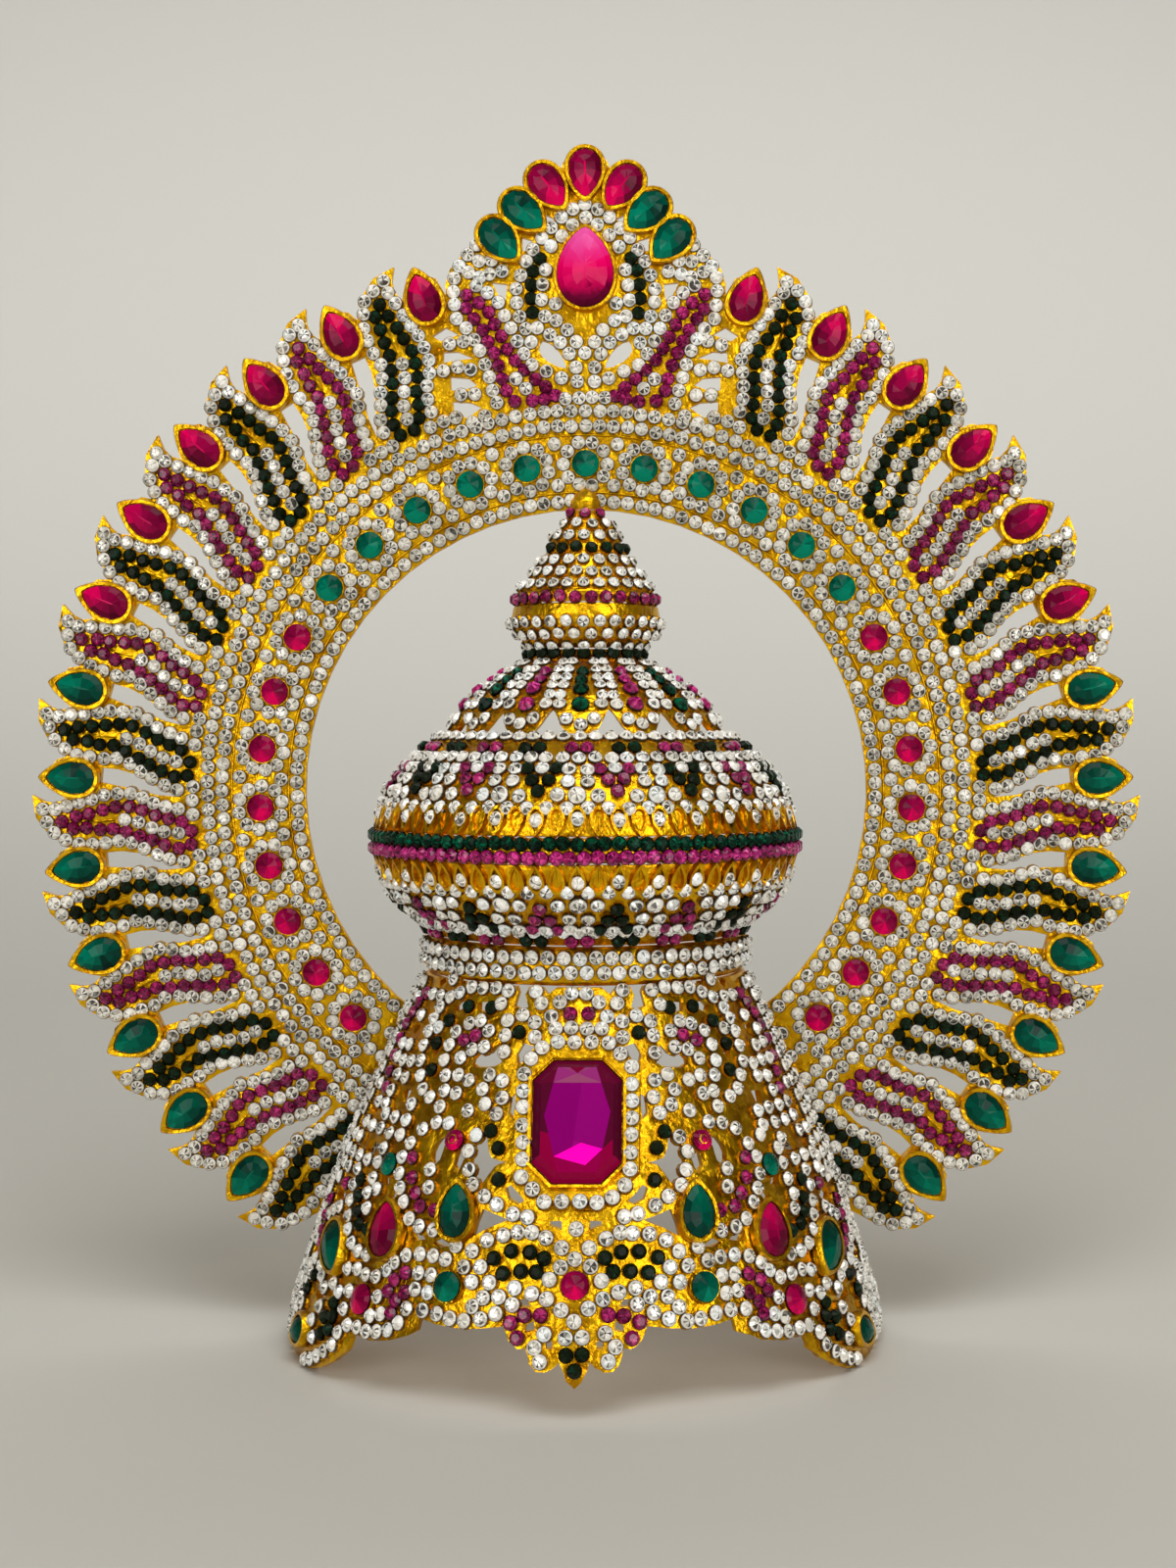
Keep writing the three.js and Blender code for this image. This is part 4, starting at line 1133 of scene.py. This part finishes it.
# lines cut across the table, from point to point, in shares of the width and the length
octagonLines = {"top": ((-0.27, 0.3), (0.27, 0.3)), "topLeft": ((-0.27, 0.3), (0, 0.378)),
                "topRight": ((0.27, 0.3), (0, 0.378)), "crown": ((-0.2, 0.49), (0, 0.378)),
                "crownRight": ((0.2, 0.49), (0, 0.378)), "leftHigh": ((-0.27, 0.3), (-0.365, 0.03)),
                "leftLow": ((-0.365, 0.03), (-0.25, -0.3)), "rightHigh": ((0.27, 0.3), (0.375, 0.06)),
                "rightLow": ((0.375, 0.06), (0.29, -0.24)), "wedgeLeft": ((-0.25, -0.3), (0.05, -0.19)),
                "wedgeRight": ((0.05, -0.19), (0.29, -0.24)), "footLeft": ((-0.25, -0.3), (0.1, -0.37)),
                "footRight": ((0.1, -0.37), (0.29, -0.24)), "shard": ((-0.04, -0.2), (0.05, 0.3))}


# painted light of the octagon's facets: a brightness for each region of the table, dark steep walls as
# painted shade, and the bevels by which way they lean
octagonPaintedLight = {"corner": 0.2, "outer": 0.25, "crown": 0.7, "tip": 0.76, "besideTip": 0.66, "edge": 0.17,
                "lowEdge": 0.33, "left": 0.5, "middle": 0.62, "right": 0.55, "foot": 0.97, "belowFoot": 0.38,
                "wall": 0.05, "topBevel": 0.2, "footBevel": 0.34, "sideBevel": (0.08, 0.22)}


# the painted light of a table facet, by its middle in shares of the width and the length
def octagonPaintedLightAt(x, y):
    tones = octagonPaintedLight

    def above(name):
        (x0, y0), (x1, y1) = octagonLines[name]
        return y > y0 + (x - x0) * (y1 - y0) / (x1 - x0)

    if y > 0.3:
        if abs(x) > 0.27:
            return tones["corner"]
        if above("crown") and above("crownRight"):
            return tones["outer"]
        if above("topLeft") and above("topRight"):
            return tones["crown"]
        return tones["besideTip" if above("topLeft") or above("topRight") else "tip"]
    if x < 0:
        inside = not above("leftHigh") if y > 0.03 else above("leftLow")
    else:
        inside = not above("rightHigh") if y > 0.06 else above("rightLow")
    if not inside:
        return tones["edge" if y > -0.15 else "lowEdge"]
    if above("wedgeLeft") if x < 0.05 else above("wedgeRight"):
        return tones["left" if x < -0.1 else "middle" if x < 0.08 and y < 0.1 else "right"]
    return tones["foot" if (above("footLeft") if x < 0.1 else above("footRight")) else "belowFoot"]


def setOctagonStone():
    width, length, corner = octagon["width"], octagon["length"], octagon["corner"]
    stone = modelGem("octagon", width, length, corner)
    for (x0, y0), (x1, y1) in octagonLines.values():
        objectMode()
        for face in stone.data.polygons:
            face.select = face.normal.z > octagon["flat"]
        bpy.ops.object.mode_set(mode="EDIT")
        across = Vector(((y0 - y1) * length, (x1 - x0) * width, 0)).normalized()
        bpy.ops.mesh.bisect(plane_co=(x0 * width, y0 * length, 0), plane_no=across)
    objectMode()
    mapStone(stone, width / 2, length / 2)
    place = basePlace(0, octagon["z"], octagon["sink"])
    copy = setGem("magenta", stone, place)

    # each facet's painted light: table by region, steep walls in painted shade, bevels by their lean
    def tone(flat):
        if flat.normal.z > octagon["flat"]:
            return octagonPaintedLightAt(flat.center.x / width, flat.center.y / length)
        if flat.normal.z < facet["steep"]:
            return octagonPaintedLight["wall"]
        if abs(flat.normal.y) > octagon["bevelLean"]:
            return octagonPaintedLight["topBevel" if flat.normal.y > 0 else "footBevel"]
        return random.uniform(*octagonPaintedLight["sideBevel"])
    paintFacetLight(copy, stone, tone)
    gap = octagon["rimGap"]
    rim = modelRim("octagon", width + gap, length + gap, corner)
    rimCopies.append(copyOf(rim, place @ Matrix.Scale(mm, 4)))
    discard(rim, stone)


setHaloRing()
setFlames()
setCrest()
setBase()
setOctagonRow()
setBulb()
setDome()
setFinial()
setDrops()
setRounds()
setOctagonStone()
leafCopies = setLeaves()
print("filled in:", fillFlanks(), fillRingFoot())
print("stones placed:", {name: len(copies) for name, copies in stoneCopies.items()})

for name, pieceName in (("clear", "clearStones"), ("violet", "violetStones"), ("dark", "darkStones")):
    finishPiece(joinAll(stoneCopies[name], pieceName), materials[name], slots[name])
finishPiece(joinAll(cupCopies, "stoneCups"), shadedCupGold, "gold")
discard(masterStone, masterCup)
print("small stones joined")

gemNodes = {"ruby": ["crest_drop_1", "crest_drop_2", "crest_drop_3"], "green": [], "pink": ["crest_stone"],
            "magenta": ["octagon_stone"]}
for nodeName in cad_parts:
    number = nodeName.split("_")[-1]
    if nodeName.startswith("halo_drop"):
        gemNodes["ruby" if int(number) <= drops["flameRubies"] else "green"].append(nodeName)
    elif nodeName.startswith("base_drop"):
        gemNodes["ruby" if number == "2" else "green"].append(nodeName)
    elif nodeName.startswith("crest_drop") and nodeName not in gemNodes["ruby"]:
        gemNodes["green"].append(nodeName)
for name, copies in gemCopies.items():
    finishPiece(joinAll(copies, name + "Gems"), materials[name], slots[name], *gemNodes[name])
rims = joinAll(rimCopies + leafCopies + setWires() + [setRibs()], "stoneRims")
turnOut(rims)
smoothBy(rims, rimShape["smoothAngle"])
finishPiece(rims, gold, "gold")
print("larger stones set")

# castings

casting = {"bevel": 0.4, "segments": 2, "bevelAngle": 35, "smoothAngle": 28, "mergeWithin": 0.02,
           "flatWithin": 0.6}


def skinOf(nodeName):
    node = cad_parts[nodeName]
    mesh = node.data.copy()
    mesh.transform(node.matrix_world)
    piece = addObject(nodeName + "Skin", mesh)
    pick(piece)
    editMode()
    bpy.ops.mesh.remove_doubles(threshold=casting["mergeWithin"] * mm)
    bpy.ops.mesh.dissolve_limited(angle_limit=math.radians(casting["flatWithin"]))
    bpy.ops.mesh.normals_make_consistent(inside=False)
    objectMode()
    modifier = piece.modifiers.new("edges", "BEVEL")
    modifier.width = casting["bevel"] * mm
    modifier.segments = casting["segments"]
    modifier.limit_method = "ANGLE"
    modifier.angle_limit = math.radians(casting["bevelAngle"])
    bpy.ops.object.modifier_apply(modifier=modifier.name)
    smoothBy(piece, casting["smoothAngle"])
    finishPiece(piece, gold, "gold", nodeName)


for nodeName in ("halo_frame", "base_shell", "neck_band", "bulb_lower", "bulb_band", "bulb_upper",
                 "petal_dome", "finial_collar", "finial_bulb", "finial_cone", "finial_tip"):
    skinOf(nodeName)
print("castings done")

# floor, light and camera

stage = {
    "distance": 442.0, "aside": 16.6, "above": 11.6, "lookHeight": 122.7, "lookAside": 0.45,
    "lens": 45.0, "sensor": 36.0, "floor": (0.61, 0.598, 0.555), "world": (0.95, 0.93, 0.9),
    "worldStrength": 0.14, "floorSize": (7.0, 3.0), "backEdge": 0.1, "sweepRadius": 1.5,
    "sweepSteps": 24, "wall": 1.5,
    "lamps": [((0.1, -0.5, 1.0), (0.8, 0.5), 6.0, (1, 0.98, 0.96), (0, 0, 0.15)), ((0.55, -0.9, 0.36),
        (0.45, 0.45), 3.5, (1, 0.98, 0.95), (0, 0, 0.1)), ((-0.55, -0.9, 0.36), (0.45, 0.45), 3.1,
        (1, 0.99, 0.97), (0, 0, 0.1)), ((0, 0.42, 0.9), (2.6, 0.3), 7.2, (1, 1, 1), (0, 1.5, 0.85)),
        ((0, 0.85, 1.3), (2.4, 0.6), 6.0, (1, 1, 1), (0, 0.9, 0))]}


# a floor that sweeps up into a wall behind
def makeFloor():
    clearSelection()
    bpy.ops.mesh.primitive_plane_add(size=1, location=(0, 0, 0))
    floor = bpy.context.object
    floor.name = "studioFloor"
    wide, deep = stage["floorSize"]
    floor.scale = (wide, deep, 1)
    floor.location = (0, stage["backEdge"] - deep / 2, 0)
    bpy.ops.object.transform_apply(location=True, scale=True)
    for vertex in floor.data.vertices:
        vertex.select = vertex.co.y > 0
    for edge in floor.data.edges:
        edge.select = all(floor.data.vertices[v].select for v in edge.vertices)
    bpy.ops.object.mode_set(mode="EDIT")
    bpy.ops.mesh.select_mode(type="EDGE")
    turn = math.pi / 2 / stage["sweepSteps"]
    moves = [(stage["sweepRadius"] * (math.sin(turn * (i + 1)) - math.sin(turn * i)),
              stage["sweepRadius"] * (math.cos(turn * i) - math.cos(turn * (i + 1))))
             for i in range(stage["sweepSteps"])]
    for back, up in moves + [(0, stage["wall"])]:
        extrude(0, back, up)
    objectMode()
    bpy.ops.object.shade_smooth()
    material, _, _ = newMaterial("paleFloor", Base_Color=(*stage["floor"], 1), Roughness=0.8)
    floor.data.materials.append(material)


def makeLight():
    world = bpy.data.worlds.new("studio")
    bpy.context.scene.world = world
    world.use_nodes = True
    background = world.node_tree.nodes["Background"].inputs
    background["Color"].default_value = (*stage["world"], 1)
    background["Strength"].default_value = stage["worldStrength"]
    for place, size, power, colour, aim in stage["lamps"]:
        light = bpy.data.lights.new("softbox", "AREA")
        light.shape = "RECTANGLE"
        light.size, light.size_y = size
        light.energy = power
        light.color = colour
        lamp = addObject("softbox", light)
        lamp.location = place
        lamp.rotation_euler = (Vector(aim) - Vector(place)).to_track_quat("-Z", "Y").to_euler()


# the camera looks straight at the halo from a little aside, and its shift brings the crown to the middle
def makeCamera():
    data = bpy.data.cameras.new("studioCamera")
    data.lens = stage["lens"]
    data.sensor_width = stage["sensor"]
    data.clip_start = 0.01
    data.shift_x = -stage["aside"] / (stage["sensor"] / stage["lens"] * stage["distance"])
    camera = addObject("studioCamera", data)
    target = Vector((stage["lookAside"], haloFront / mm, stage["lookHeight"])) * mm
    camera.location = target + Vector((stage["aside"], -stage["distance"], stage["above"])) * mm
    camera.rotation_euler = (math.pi / 2 - math.atan2(stage["above"], stage["distance"]), 0, 0)
    bpy.context.scene.camera = camera
    bpy.context.scene.view_settings.view_transform = "Standard"


makeFloor()
makeLight()
makeCamera()
print("stage ready")
